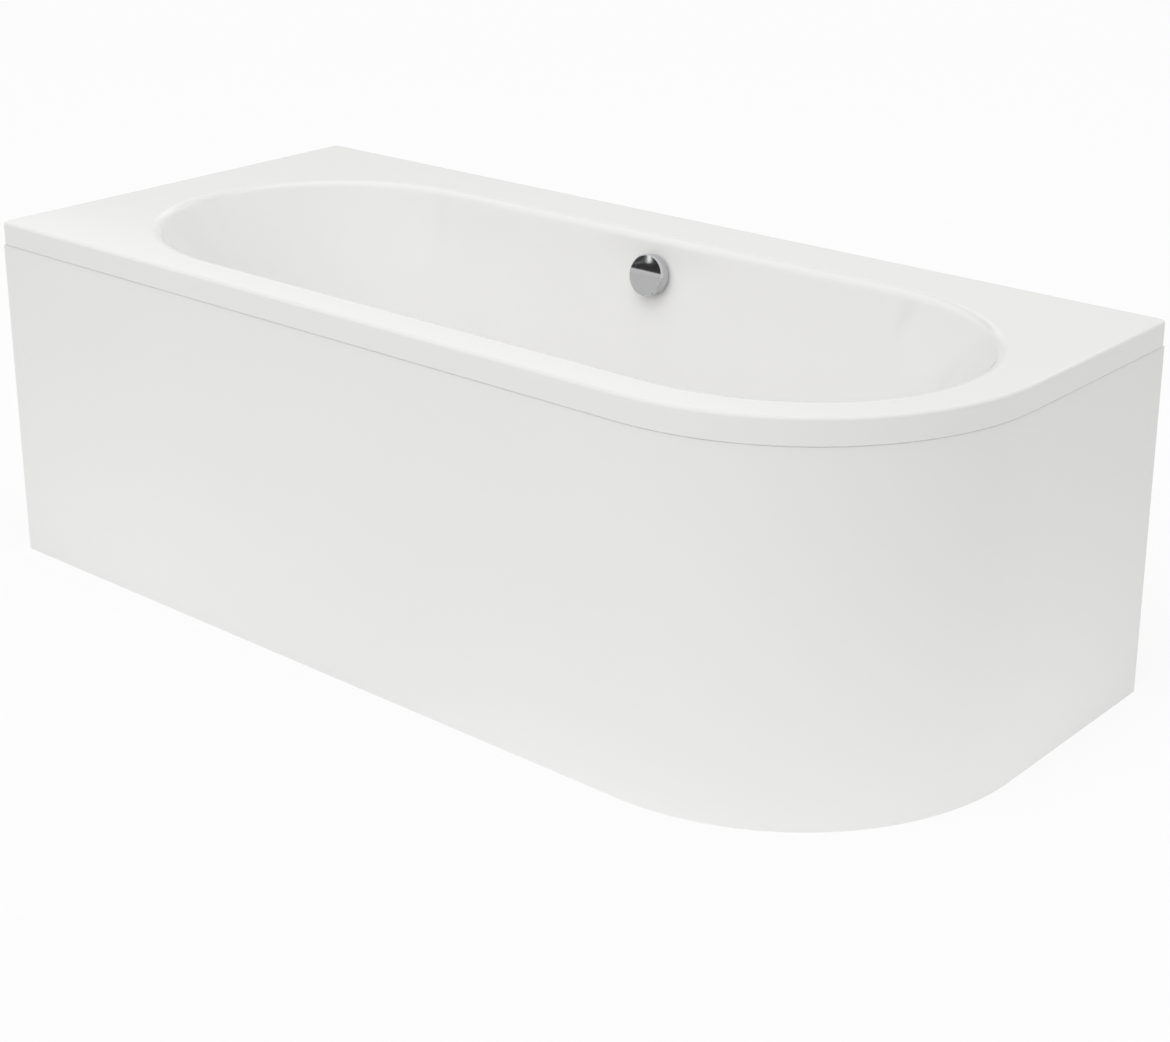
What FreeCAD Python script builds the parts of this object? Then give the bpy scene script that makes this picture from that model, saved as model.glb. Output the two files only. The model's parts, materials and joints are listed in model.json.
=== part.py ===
import FreeCAD, Part

import math
import os

# A right-hand J-shaped, double-ended acrylic bath for a room corner.
# The back and the left end stand against walls, and one curved panel closes
# the front and the right end. Millimetres, +X along the bath to the right,
# +Y towards the back wall, +Z up, origin on the floor at the plan's centre.

Vector = FreeCAD.Vector

# Rim and outer form
BATH_LENGTH = 1700.0
BATH_WIDTH = 750.0
BATH_HEIGHT = 580.0
FRONT_CORNER_RADIUS = 385.0
RIM_CORNER_RADIUS = 12.0
RIM_EDGE_RADIUS = 6.0
RIM_LIP_DEPTH = 38.0
LIP_WALL = 5.0
SHELL_WALL = 6.0

# Basin
LEFT_DECK = 122.0
RIGHT_DECK = 74.0
FRONT_DECK = 73.0
BACK_DECK = 117.0
FLOOR_HEIGHT = 150.0
BASIN_END_REACH = 312.0
SIDE_DRAFT_DEG = 12.0
END_SLOPE_DEG = 30.0
END_CURVE_SHARE = 0.45
FLOOR_RADIUS = 85.0
ROLL_RADIUS = 14.0

# Timber glassed to the underside
BASEBOARD_END_INSET = 34.0
BASEBOARD_SIDE_INSET = 38.0
BASEBOARD_THICKNESS = 16.0
BASEBOARD_CORNER = 60.0
WASTE_NOTCH_WIDTH = 116.0
RIM_BATTEN_GAP = 6.0
NARROW_BATTEN_WIDTH = 34.0
WIDE_BATTEN_WIDTH = 46.0
BATTEN_END_GAP = 70.0

# Legs and feet
LEG_END_INSET = 110.0
LEG_LENGTH = 560.0
CHANNEL_WIDTH = 40.0
CHANNEL_HEIGHT = 28.0
CHANNEL_WALL = 2.0
FOOT_END_INSET = 45.0
FOOT_PAD_RADIUS = 28.0
FOOT_PAD_HEIGHT = 24.0
FOOT_PAD_SOLE = 7.0
FOOT_COLLAR_RADIUS = 12.0
STUD_RADIUS = 6.0
STUD_STAND_OUT = 14.0
STUD_HOLE_CLEARANCE = 0.6
STUD_ROOM_CLEARANCE = 2.0
NUT_ACROSS_FLATS = 19.0
NUT_HEIGHT = 10.0
CENTRE_FOOT_OFFSET = 150.0
CENTRE_PLATE_SIZE = 76.0
CENTRE_PLATE_THICKNESS = 3.0
CENTRE_SOCKET_RADIUS = 11.0
CENTRE_SOCKET_LENGTH = 30.0
CENTRE_STUD_SINK = 4.0

# Screws
SCREW_RADIUS = 2.0
SCREW_LENGTH = 13.0
SCREW_HEAD_RADIUS = 4.4
SCREW_HEAD_HEIGHT = 2.8
LEG_SCREW_COUNT = 4
LEG_SCREW_EDGE = 35.0
BRACKET_SCREW_SPACING = 22.0

# Panel
PANEL_WALL = 4.0
PANEL_INSET = 1.5
PANEL_GAP = 1.5
PANEL_TOP_RETURN = 24.0
PANEL_FOOT_RETURN = 18.0
PANEL_END_RETURN = 16.0
PANEL_EDGE_RADIUS = 2.0
CLIP_WIDTH = 26.0
CLIP_THICKNESS = 1.5
CLIP_GRIP = 14.0
FRONT_CLIP_COUNT = 3
CLIP_END_INSET = 160.0

# Wall brackets
BRACKET_WIDTH = 42.0
BRACKET_THICKNESS = 2.5
BRACKET_REACH = 52.0
BRACKET_DROP = 50.0
BRACKET_HOLE_RADIUS = 2.75
BRACKET_HOLE_DROP = 32.0
BACK_BRACKET_INSET = 350.0

# Overflow with its turning knob
OVERFLOW_DROP = 62.0
OVERFLOW_HOLE_RADIUS = 26.0
KNOB_RADIUS = 34.0
KNOB_DEPTH = 17.0
KNOB_WALL = 2.5
KNOB_BEVEL = 2.2
KNOB_BACK_EDGE = 0.6
KNOB_STAND_OFF = 4.5
KNOB_HUB_RADIUS = 9.0
SPINDLE_RADIUS = 5.0
CRANK_RADIUS = 9.0
CRANK_THICKNESS = 4.0
CRANK_PIN_RADIUS = 1.5
CRANK_PIN_LENGTH = 2.0
CRANK_PIN_ARM = 6.0
FACE_RING_RADIUS = 31.0
FACE_RING_THICKNESS = 3.0
FACE_TUBE_WALL = 3.0
FACE_TUBE_LENGTH = 20.0
FACE_HUB_RADIUS = 8.5
FACE_HUB_LENGTH = 10.0
SPOKE_WIDTH = 5.0
SPOKE_COUNT = 3
ELBOW_RADIUS = 36.0
ELBOW_DEPTH = 27.0
ELBOW_WALL = 3.0
ELBOW_SEAL = 3.0
SPIGOT_SETBACK = 26.0
SPIGOT_NECK = 4.0

# Overflow hose and pull cable
HOSE_RADIUS = 14.5
HOSE_BORE = 12.5
RIB_HEIGHT = 2.2
RIB_PITCH = 6.5
HOSE_BEND = 95.0
HOSE_PLAIN_END = 32.0
SPIGOT_GRIP = 24.0
HOSE_NUT_RADIUS = 20.5
HOSE_NUT_LENGTH = 22.0
HOSE_DROP = 32.0
CABLE_RADIUS = 2.5
CABLE_GLAND_RADIUS = 4.6
CABLE_SIDE_STEP = 27.0
CABLE_GLAND_SINK = 8.0
CABLE_RUN_BACK = 95.0
CABLE_BODY_GAP = 22.0
CABLE_LOOP_REACH = 46.0
CABLE_DROP_BEND = 70.0
CABLE_SIDE_BEND = 60.0
CABLE_LOOP_BEND = 25.0

# Waste with its lifting plug
WASTE_OFFSET_Y = 40.0
WASTE_HOLE_RADIUS = 26.0
FLANGE_RADIUS = 35.0
FLANGE_THICKNESS = 2.6
FLANGE_SEAL = 1.6
FLANGE_TAIL_RADIUS = 24.7
FLANGE_TAIL_WALL = 3.0
FLANGE_TAIL_DROP = 13.0
FLANGE_SEAL_INSET = 1.0
BODY_SEAL = 4.0
BODY_SEAL_INSET = 2.0
BODY_FLANGE_RADIUS = 38.0
BODY_FLANGE_THICKNESS = 5.0
BODY_RADIUS = 30.0
BODY_CHAMBER_RADIUS = 26.0
BODY_DEPTH = 52.0
BODY_BASE_WALL = 4.0
TAIL_LENGTH = 12.0
PLUG_RADIUS = 31.0
PLUG_CROWN = 5.0
PLUG_EDGE = 2.4
PLUG_EDGE_BEVEL = 0.8
PLUG_LIFT = 12.0
PLUG_BOSS_RADIUS = 16.5
PLUG_SEAL_DEPTH = 4.5
STEM_RADIUS = 3.5
GUIDE_HUB_RADIUS = 7.5
GUIDE_HEIGHT = 9.0
LEVER_ARM = 17.5
LEVER_CRANK = 12.5
LEVER_WIDTH = 6.0
LEVER_BAR = 3.4
LEVER_TIP_RADIUS = 2.5
LEVER_HUB_RADIUS = 4.6
LEVER_PIVOT_DROP = 41.0
LEVER_PIN_RADIUS = 2.0
LEVER_PIN_SINK = 1.5
PORT_LENGTH = 20.0

# Trap
TRAP_RADIUS = 21.0
TRAP_BORE = 18.5
TRAP_BEND = 32.0
TRAP_INLET_RUN = 16.0
TRAP_OUTLET_REACH = 112.0
TRAP_OUTLET_RISE = 66.0
PIPE_BORE = 21.7
SOCKET_RADIUS = 25.0
SOCKET_DEPTH = 34.0
SOCKET_STEP = 4.0
UNION_NUT_RADIUS = 27.5
UNION_NUT_LENGTH = 20.0
OUTLET_NUT_RADIUS = 29.0
OUTLET_NUT_LENGTH = 24.0
OUTLET_SEAL_LENGTH = 6.0
TRAP_WASHER = 2.0
NUT_GRIP_RIBS = 8

# Fits
RUNNING_FIT = 0.08
SEAT_FIT = 0.05
THREAD_FIT = 0.3
LIFT_GAP = 0.4

# Worked-out places
HALF_LENGTH = BATH_LENGTH / 2
HALF_WIDTH = BATH_WIDTH / 2
SIDE_DRAFT = math.radians(SIDE_DRAFT_DEG)
END_SLOPE = math.radians(END_SLOPE_DEG)
BASIN_DEPTH = BATH_HEIGHT - FLOOR_HEIGHT
BASIN_LENGTH = BATH_LENGTH - LEFT_DECK - RIGHT_DECK
BASIN_WIDTH = BATH_WIDTH - FRONT_DECK - BACK_DECK
BASIN_CENTRE_X = (LEFT_DECK - RIGHT_DECK) / 2
BASIN_CENTRE_Y = (FRONT_DECK - BACK_DECK) / 2
FLOOR_HALF_LENGTH = BASIN_LENGTH / 2 - BASIN_DEPTH * math.tan(END_SLOPE)
FLOOR_HALF_WIDTH = BASIN_WIDTH / 2 - BASIN_DEPTH * math.tan(SIDE_DRAFT)
BOARD_HALF_LENGTH = FLOOR_HALF_LENGTH - BASEBOARD_END_INSET
BOARD_HALF_WIDTH = FLOOR_HALF_WIDTH - BASEBOARD_SIDE_INSET
FOOT_SPACING = LEG_LENGTH - 2 * FOOT_END_INSET
SHELL_BASE = FLOOR_HEIGHT - SHELL_WALL
BOARD_BASE = SHELL_BASE - BASEBOARD_THICKNESS
CHANNEL_BASE = BOARD_BASE - CHANNEL_HEIGHT
LIP_BASE = BATH_HEIGHT - RIM_LIP_DEPTH
DECK_UNDERSIDE = BATH_HEIGHT - SHELL_WALL
PANEL_TOP = LIP_BASE - PANEL_GAP
WASTE_X = BASIN_CENTRE_X
WASTE_Y = BASIN_CENTRE_Y + WASTE_OFFSET_Y
# The floor stays flat as far as the waste's body flange reaches
FLOOR_EDGE_ROOM = FLOOR_HALF_WIDTH - WASTE_OFFSET_Y - BODY_FLANGE_RADIUS
FLOOR_FILLET = min(FLOOR_RADIUS, FLOOR_EDGE_ROOM * math.cos(SIDE_DRAFT) / (1 - math.sin(SIDE_DRAFT)))
FLANGE_TOP = FLOOR_HEIGHT + FLANGE_SEAL + FLANGE_THICKNESS
BODY_TOP = SHELL_BASE - BODY_SEAL
BODY_BASE = SHELL_BASE - BODY_DEPTH
HOSE_HEIGHT = SHELL_BASE - HOSE_DROP
LEVER_PIVOT_HEIGHT = SHELL_BASE - LEVER_PIVOT_DROP
TAIL_END = BODY_BASE - BODY_BASE_WALL - TAIL_LENGTH
LEVER_SWING = math.asin(PLUG_LIFT / 2 / LEVER_ARM)


def placed(shape, x, y, z):
    """Return a copy of a shape moved to a place."""
    moved = shape.copy()
    moved.translate(Vector(x, y, z))
    return moved


def fused(shapes):
    """Join touching solids into one clean solid."""
    whole = shapes[0]
    if len(shapes) > 1:
        whole = shapes[0].fuse(shapes[1:])
    return whole.removeSplitter()


def tube(radius, bore, low, high):
    """Return an upright tube, or a rod where the bore is zero."""
    rod = Part.makeCylinder(radius, high - low, Vector(0, 0, low))
    if bore <= 0:
        return rod
    return rod.cut(Part.makeCylinder(bore, high - low, Vector(0, 0, low)))


def rod_along(radius, start, end):
    """Return a round rod between two points."""
    run = end - start
    return Part.makeCylinder(radius, run.Length, start, run)


def turned(profile):
    """Turn a closed profile of (radius, height) points about the Z axis."""
    points = [Vector(radius, 0, height) for radius, height in profile]
    face = Part.Face(Part.makePolygon(points + points[:1]))
    return face.revolve(Vector(0, 0, 0), Vector(0, 0, 1), 360)


def rounded_outline(left, front, right, back, radii):
    """Return a plan outline with its own radius at each corner.

    The radii run front-left, front-right, back-right, back-left.
    """
    corners = (
        (left, front, 180, radii[0], 1, 1),
        (right, front, 270, radii[1], -1, 1),
        (right, back, 0, radii[2], -1, -1),
        (left, back, 90, radii[3], 1, -1),
    )
    arcs = []
    for x, y, start, radius, toward_x, toward_y in corners:
        centre = Vector(x + toward_x * radius, y + toward_y * radius, 0)
        circle = Part.Circle(centre, Vector(0, 0, 1), radius)
        arc = Part.Arc(circle, math.radians(start), math.radians(start + 90))
        arcs.append(arc.toShape())
    edges = []
    for index, arc in enumerate(arcs):
        following = arcs[(index + 1) % len(arcs)]
        edges.append(arc)
        edges.append(Part.makeLine(arc.lastVertex().Point, following.firstVertex().Point))
    return Part.Wire(edges)


def prism(outline, low, high):
    """Raise a flat outline between two heights."""
    face = Part.Face(outline)
    face.translate(Vector(0, 0, low))
    return face.extrude(Vector(0, 0, high - low))


def block(left, front, low, right, back, high):
    """Return a plain block between two corners."""
    return Part.makeBox(right - left, back - front, high - low, Vector(left, front, low))


def rim_outline(inset):
    """Return the bath's plan outline, moved in by an inset."""
    square = RIM_CORNER_RADIUS - inset
    sweep = FRONT_CORNER_RADIUS - inset
    return rounded_outline(
        inset - HALF_LENGTH,
        inset - HALF_WIDTH,
        HALF_LENGTH - inset,
        HALF_WIDTH - inset,
        (square, sweep, square, square),
    )


def edges_on(shape, wire):
    """Return the edges of a shape that lie along a wire."""
    chosen = []
    for edge in shape.Edges:
        middle = edge.valueAt((edge.FirstParameter + edge.LastParameter) / 2)
        points = [middle, edge.Vertexes[0].Point]
        if all(wire.distToShape(Part.Vertex(point))[0] < 0.05 for point in points):
            chosen.append(edge)
    return chosen


def basin_outline(height, wall):
    """Return the basin's outline at a height, moved out by a wall thickness.

    Two straight sides run into half-elliptical ends. The sides close in with
    the side draft and the ends with the slope of the back rests.
    """
    drop = BATH_HEIGHT - height
    half_width = BASIN_WIDTH / 2 - drop * math.tan(SIDE_DRAFT) + wall / math.cos(SIDE_DRAFT)
    end_slide = drop * math.tan(END_SLOPE)
    half_length = BASIN_LENGTH / 2 - end_slide + wall / math.cos(END_SLOPE)
    reach = BASIN_END_REACH - end_slide * END_CURVE_SHARE + wall
    straight = half_length - reach
    ends = []
    for side in (1, -1):
        centre = Vector(BASIN_CENTRE_X + side * straight, BASIN_CENTRE_Y, height)
        tip = centre + Vector(side * reach, 0, 0)
        flank = centre + Vector(0, side * half_width, 0)
        if reach >= half_width:
            curve = Part.Ellipse(tip, flank, centre)
            first = -math.pi / 2
        else:
            curve = Part.Ellipse(flank, centre - Vector(side * reach, 0, 0), centre)
            first = -math.pi
        ends.append(Part.ArcOfEllipse(curve, first, first + math.pi).toShape())
    right, left = ends
    front = Part.makeLine(left.lastVertex().Point, right.firstVertex().Point)
    back = Part.makeLine(right.lastVertex().Point, left.firstVertex().Point)
    return Part.Wire([front, right, back, left])


def basin_form(wall):
    """Return the basin as a solid, with its floor radius, moved out by a wall."""
    base = FLOOR_HEIGHT - wall
    floor_line = basin_outline(base, wall)
    form = Part.makeLoft([floor_line, basin_outline(BATH_HEIGHT, wall)], True, True)
    return form.makeFillet(FLOOR_FILLET + wall, edges_on(form, floor_line))


def overflow_origin():
    """Return the overflow's centre on the inner face of the back wall."""
    wall_y = BASIN_CENTRE_Y + BASIN_WIDTH / 2 - OVERFLOW_DROP * math.tan(SIDE_DRAFT)
    return Vector(BASIN_CENTRE_X, wall_y, BATH_HEIGHT - OVERFLOW_DROP)


def on_back_wall(shape):
    """Place a shape made about +Z so that +Z leaves the back wall squarely."""
    square = Vector(0, -math.cos(SIDE_DRAFT), math.sin(SIDE_DRAFT))
    turn = FreeCAD.Rotation(Vector(1, 0, 0), 90 - SIDE_DRAFT_DEG)
    seated = shape.copy()
    seated.Placement = FreeCAD.Placement(overflow_origin(), turn)
    assert turn.multVec(Vector(0, 0, 1)).isEqual(square, 1e-9)
    return seated


def bath_shell():
    """Return the formed shell: deck, lip and basin in one wall thickness."""
    rim = prism(rim_outline(0), LIP_BASE, BATH_HEIGHT)
    top_line = rim_outline(0)
    top_line.translate(Vector(0, 0, BATH_HEIGHT))
    rim = rim.makeFillet(RIM_EDGE_RADIUS, edges_on(rim, top_line))
    rim = rim.cut(prism(rim_outline(LIP_WALL), LIP_BASE, DECK_UNDERSIDE))
    shell = fused([rim, basin_form(SHELL_WALL)])
    root_line = basin_outline(DECK_UNDERSIDE, SHELL_WALL)
    shell = shell.makeFillet(ROLL_RADIUS - SHELL_WALL, edges_on(shell, root_line))
    shell = shell.cut(basin_form(0))
    shell = shell.makeFillet(ROLL_RADIUS, edges_on(shell, basin_outline(BATH_HEIGHT, 0)))
    waste = tube(WASTE_HOLE_RADIUS, 0, SHELL_BASE - 1, FLOOR_HEIGHT + 1)
    shell = shell.cut(placed(waste, WASTE_X, WASTE_Y, 0))
    overflow = tube(OVERFLOW_HOLE_RADIUS, 0, -2 * SHELL_WALL, SHELL_WALL)
    return shell.cut(on_back_wall(overflow))


def screw_hole(depth):
    """Return a pilot hole that starts at the origin and goes up."""
    return tube(SCREW_RADIUS + SEAT_FIT, 0, -1, depth)


def screw():
    """Return a pan-head screw that points up, its head seated at the origin."""
    shank_tip = SCREW_LENGTH - SCREW_RADIUS
    head = SCREW_HEAD_HEIGHT
    profile = [
        (0, -head),
        (SCREW_HEAD_RADIUS * 0.75, -head),
        (SCREW_HEAD_RADIUS, -head * 0.45),
        (SCREW_HEAD_RADIUS, 0),
        (SCREW_RADIUS, 0),
        (SCREW_RADIUS, shank_tip),
        (0, SCREW_LENGTH),
    ]
    return turned(profile)


def leg_places():
    """Return the X of each leg channel."""
    reach = BOARD_HALF_LENGTH - LEG_END_INSET
    return [BASIN_CENTRE_X + side * reach for side in (-1, 1)]


def leg_screw_rows():
    """Return the Y of each row of leg screws, from the basin's middle line."""
    outer = BOARD_HALF_WIDTH - LEG_SCREW_EDGE
    step = 2 * outer / (LEG_SCREW_COUNT - 1)
    return [index * step - outer for index in range(LEG_SCREW_COUNT)]


def foot_rows():
    """Return the Y of each row of feet."""
    return [BASIN_CENTRE_Y + side * FOOT_SPACING / 2 for side in (-1, 1)]


def centre_foot_place():
    """Return the X and Y of the foot under the middle of the board."""
    return BASIN_CENTRE_X - CENTRE_FOOT_OFFSET, BASIN_CENTRE_Y


def centre_screw_places():
    """Return the X and Y of the four screws of the middle foot's plate."""
    x, y = centre_foot_place()
    step = CENTRE_PLATE_SIZE / 2 - 2.5 * SCREW_HEAD_RADIUS
    return [(x + i * step, y + j * step) for i in (-1, 1) for j in (-1, 1)]


def baseboard():
    """Return the board under the floor, notched for the waste."""
    outline = rounded_outline(
        BASIN_CENTRE_X - BOARD_HALF_LENGTH,
        BASIN_CENTRE_Y - BOARD_HALF_WIDTH,
        BASIN_CENTRE_X + BOARD_HALF_LENGTH,
        BASIN_CENTRE_Y + BOARD_HALF_WIDTH,
        (BASEBOARD_CORNER,) * 4,
    )
    board = prism(outline, BOARD_BASE, SHELL_BASE)
    half_notch = WASTE_NOTCH_WIDTH / 2
    notch_end = tube(half_notch, 0, BOARD_BASE, SHELL_BASE)
    notch_run = block(-half_notch, 0, BOARD_BASE, half_notch, 2 * BOARD_HALF_WIDTH, SHELL_BASE)
    notch = placed(fused([notch_end, notch_run]), WASTE_X, WASTE_Y, 0)
    board = board.cut(notch)
    hole = screw_hole(SCREW_LENGTH - CHANNEL_WALL + SEAT_FIT)
    for x in leg_places():
        for row in leg_screw_rows():
            board = board.cut(placed(hole, x, BASIN_CENTRE_Y + row, BOARD_BASE))
    for x, y in centre_screw_places():
        board = board.cut(placed(hole, x, y, BOARD_BASE))
    x, y = centre_foot_place()
    room = tube(STUD_RADIUS + STUD_ROOM_CLEARANCE, 0, BOARD_BASE - 1, SHELL_BASE)
    return board.cut(placed(room, x, y, 0))


def leg_channel(x):
    """Return one pressed steel leg, a channel open downwards, at its X."""
    half_wide = CHANNEL_WIDTH / 2
    half_long = LEG_LENGTH / 2
    web = BOARD_BASE - CHANNEL_WALL
    outer = block(-half_wide, -half_long, CHANNEL_BASE, half_wide, half_long, BOARD_BASE)
    bends = [edge for edge in outer.Edges if edge.BoundBox.ZMin > web and edge.Length > LEG_LENGTH / 2]
    outer = outer.makeFillet(CHANNEL_WALL * 1.5, bends)
    inner = half_wide - CHANNEL_WALL
    channel = outer.cut(block(-inner, -half_long, CHANNEL_BASE, inner, half_long, web))
    stud_hole = tube(STUD_RADIUS + STUD_HOLE_CLEARANCE, 0, web - 1, BOARD_BASE + 1)
    for side in (-1, 1):
        channel = channel.cut(placed(stud_hole, 0, side * FOOT_SPACING / 2, 0))
    for row in leg_screw_rows():
        channel = channel.cut(placed(screw_hole(CHANNEL_WALL + 1), 0, row, web))
    return placed(channel, x, BASIN_CENTRE_Y, 0)


def leg_screws():
    """Return the screws that hold both legs to the board."""
    web = BOARD_BASE - CHANNEL_WALL
    places = [(x, BASIN_CENTRE_Y + row) for x in leg_places() for row in leg_screw_rows()]
    return Part.makeCompound([placed(screw(), x, y, web) for x, y in places])


def lock_nut(low):
    """Return a chamfered hexagon nut that starts at a height."""
    corner = NUT_ACROSS_FLATS / math.sqrt(3)
    points = []
    for index in range(7):
        angle = math.radians(60 * index)
        points.append(Vector(corner * math.cos(angle), corner * math.sin(angle), low))
    nut = Part.Face(Part.makePolygon(points)).extrude(Vector(0, 0, NUT_HEIGHT))
    bevel = corner - NUT_ACROSS_FLATS / 2
    top = low + NUT_HEIGHT
    crown = turned([
        (0, low),
        (corner - bevel, low),
        (corner, low + bevel / 2),
        (corner, top - bevel / 2),
        (corner - bevel, top),
        (0, top),
    ])
    return nut.common(crown).cut(tube(STUD_RADIUS + RUNNING_FIT, 0, low - 1, top + 1))


def foot_lock_nuts():
    """Return the nuts above and below each leg's web."""
    lower = lock_nut(BOARD_BASE - CHANNEL_WALL - NUT_HEIGHT)
    upper = lock_nut(BOARD_BASE)
    nuts = []
    for x in leg_places():
        for y in foot_rows():
            nuts.append(placed(lower, x, y, 0))
            nuts.append(placed(upper, x, y, 0))
    return Part.makeCompound(nuts)


def foot_stud(top):
    """Return a levelling stud from the sole of its pad to a height."""
    stud = tube(STUD_RADIUS, 0, FOOT_PAD_SOLE, top)
    ends = [edge for edge in stud.Edges if abs(edge.BoundBox.ZMin - top) < 1e-6]
    return stud.makeChamfer(STUD_RADIUS / 5, ends)


def foot_pad():
    """Return a moulded foot with a spread sole and a collar for its stud."""
    sole = FOOT_PAD_RADIUS
    collar = FOOT_COLLAR_RADIUS
    bore = STUD_RADIUS + SEAT_FIT
    return turned([
        (0, 0),
        (sole - 1.5, 0),
        (sole, 1.5),
        (sole, FOOT_PAD_SOLE - 2),
        (sole - 2, FOOT_PAD_SOLE),
        (collar + 3, FOOT_PAD_SOLE + 4),
        (collar, FOOT_PAD_SOLE + 7),
        (collar, FOOT_PAD_HEIGHT - 1),
        (collar - 1, FOOT_PAD_HEIGHT),
        (bore, FOOT_PAD_HEIGHT),
        (bore, FOOT_PAD_SOLE),
        (0, FOOT_PAD_SOLE),
    ])


def centre_foot_bracket():
    """Return the middle foot's plate with its welded socket."""
    x, y = centre_foot_place()
    half = CENTRE_PLATE_SIZE / 2
    corner = CENTRE_PLATE_SIZE / 8
    plate_base = BOARD_BASE - CENTRE_PLATE_THICKNESS
    plate = prism(rounded_outline(-half, -half, half, half, (corner,) * 4), plate_base, BOARD_BASE)
    socket = tube(CENTRE_SOCKET_RADIUS, 0, plate_base - CENTRE_SOCKET_LENGTH, plate_base)
    bracket = fused([plate, socket])
    bore = tube(STUD_RADIUS + RUNNING_FIT, 0, plate_base - CENTRE_SOCKET_LENGTH - 1, BOARD_BASE + 1)
    bracket = placed(bracket.cut(bore), x, y, 0)
    for screw_x, screw_y in centre_screw_places():
        hole = screw_hole(CENTRE_PLATE_THICKNESS + 1)
        bracket = bracket.cut(placed(hole, screw_x, screw_y, plate_base))
    return bracket


def centre_foot_screws():
    """Return the screws that hold the middle foot's plate to the board."""
    low = BOARD_BASE - CENTRE_PLATE_THICKNESS
    return Part.makeCompound([placed(screw(), x, y, low) for x, y in centre_screw_places()])


def batten_span(outer_inset, width):
    """Return the near and far inset of a rim batten from the bath's edge."""
    return outer_inset, outer_inset + width


def front_clip_places():
    """Return the X of each clip along the front batten."""
    first = BATTEN_END_GAP + CLIP_END_INSET - HALF_LENGTH
    last = HALF_LENGTH - FRONT_CORNER_RADIUS - CLIP_END_INSET
    step = (last - first) / (FRONT_CLIP_COUNT - 1)
    return [first + index * step for index in range(FRONT_CLIP_COUNT)]


def end_clip_place():
    """Return the Y of the clip in the middle of the right-hand batten."""
    return (FRONT_CORNER_RADIUS - BATTEN_END_GAP) / 2


def back_bracket_places():
    """Return the X of each wall bracket on the back rim."""
    reach = HALF_LENGTH - BACK_BRACKET_INSET
    return [-reach, reach]


def clip_screw_inset():
    """Return how far in from the bath's edge a clip's screw sits."""
    near, far = batten_span(LIP_WALL + RIM_BATTEN_GAP, NARROW_BATTEN_WIDTH)
    panel_edge = PANEL_INSET + PANEL_TOP_RETURN + CLIP_THICKNESS
    return (panel_edge + far) / 2 + CLIP_THICKNESS


def bracket_screw_inset():
    """Return how far in from the wall a bracket's screw row sits."""
    near, far = batten_span(LIP_WALL + RIM_BATTEN_GAP, WIDE_BATTEN_WIDTH)
    return (near + far) / 2


def bored(timber, places):
    """Drill pilot holes up into a batten's underside."""
    for x, y in places:
        timber = timber.cut(placed(screw_hole(SCREW_LENGTH), x, y, LIP_BASE))
    return timber


def bracket_screw_places(inset_axis, place):
    """Return the two screw places of a wall bracket."""
    half = BRACKET_SCREW_SPACING / 2
    if inset_axis == "back":
        y = HALF_WIDTH - bracket_screw_inset()
        return [(place - half, y), (place + half, y)]
    x = bracket_screw_inset() - HALF_LENGTH
    return [(x, place - half), (x, place + half)]


def rim_batten_front():
    """Return the timber under the front rim, up to the start of the corner."""
    near, far = batten_span(LIP_WALL + RIM_BATTEN_GAP, NARROW_BATTEN_WIDTH)
    timber = block(
        BATTEN_END_GAP - HALF_LENGTH,
        near - HALF_WIDTH,
        LIP_BASE,
        HALF_LENGTH - FRONT_CORNER_RADIUS,
        far - HALF_WIDTH,
        DECK_UNDERSIDE,
    )
    y = clip_screw_inset() - HALF_WIDTH
    return bored(timber, [(x, y) for x in front_clip_places()])


def rim_batten_right():
    """Return the timber under the right-hand rim, behind the corner."""
    near, far = batten_span(LIP_WALL + RIM_BATTEN_GAP, NARROW_BATTEN_WIDTH)
    timber = block(
        HALF_LENGTH - far,
        FRONT_CORNER_RADIUS - HALF_WIDTH,
        LIP_BASE,
        HALF_LENGTH - near,
        HALF_WIDTH - BATTEN_END_GAP,
        DECK_UNDERSIDE,
    )
    return bored(timber, [(HALF_LENGTH - clip_screw_inset(), end_clip_place())])


def rim_batten_back():
    """Return the timber under the back rim."""
    near, far = batten_span(LIP_WALL + RIM_BATTEN_GAP, WIDE_BATTEN_WIDTH)
    timber = block(
        BATTEN_END_GAP - HALF_LENGTH,
        HALF_WIDTH - far,
        LIP_BASE,
        HALF_LENGTH - BATTEN_END_GAP,
        HALF_WIDTH - near,
        DECK_UNDERSIDE,
    )
    places = []
    for place in back_bracket_places():
        places += bracket_screw_places("back", place)
    return bored(timber, places)


def rim_batten_left():
    """Return the timber under the left-hand rim."""
    near, far = batten_span(LIP_WALL + RIM_BATTEN_GAP, WIDE_BATTEN_WIDTH)
    timber = block(
        near - HALF_LENGTH,
        BATTEN_END_GAP - HALF_WIDTH,
        LIP_BASE,
        far - HALF_LENGTH,
        HALF_WIDTH - BATTEN_END_GAP,
        DECK_UNDERSIDE,
    )
    return bored(timber, bracket_screw_places("left", 0))


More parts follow.
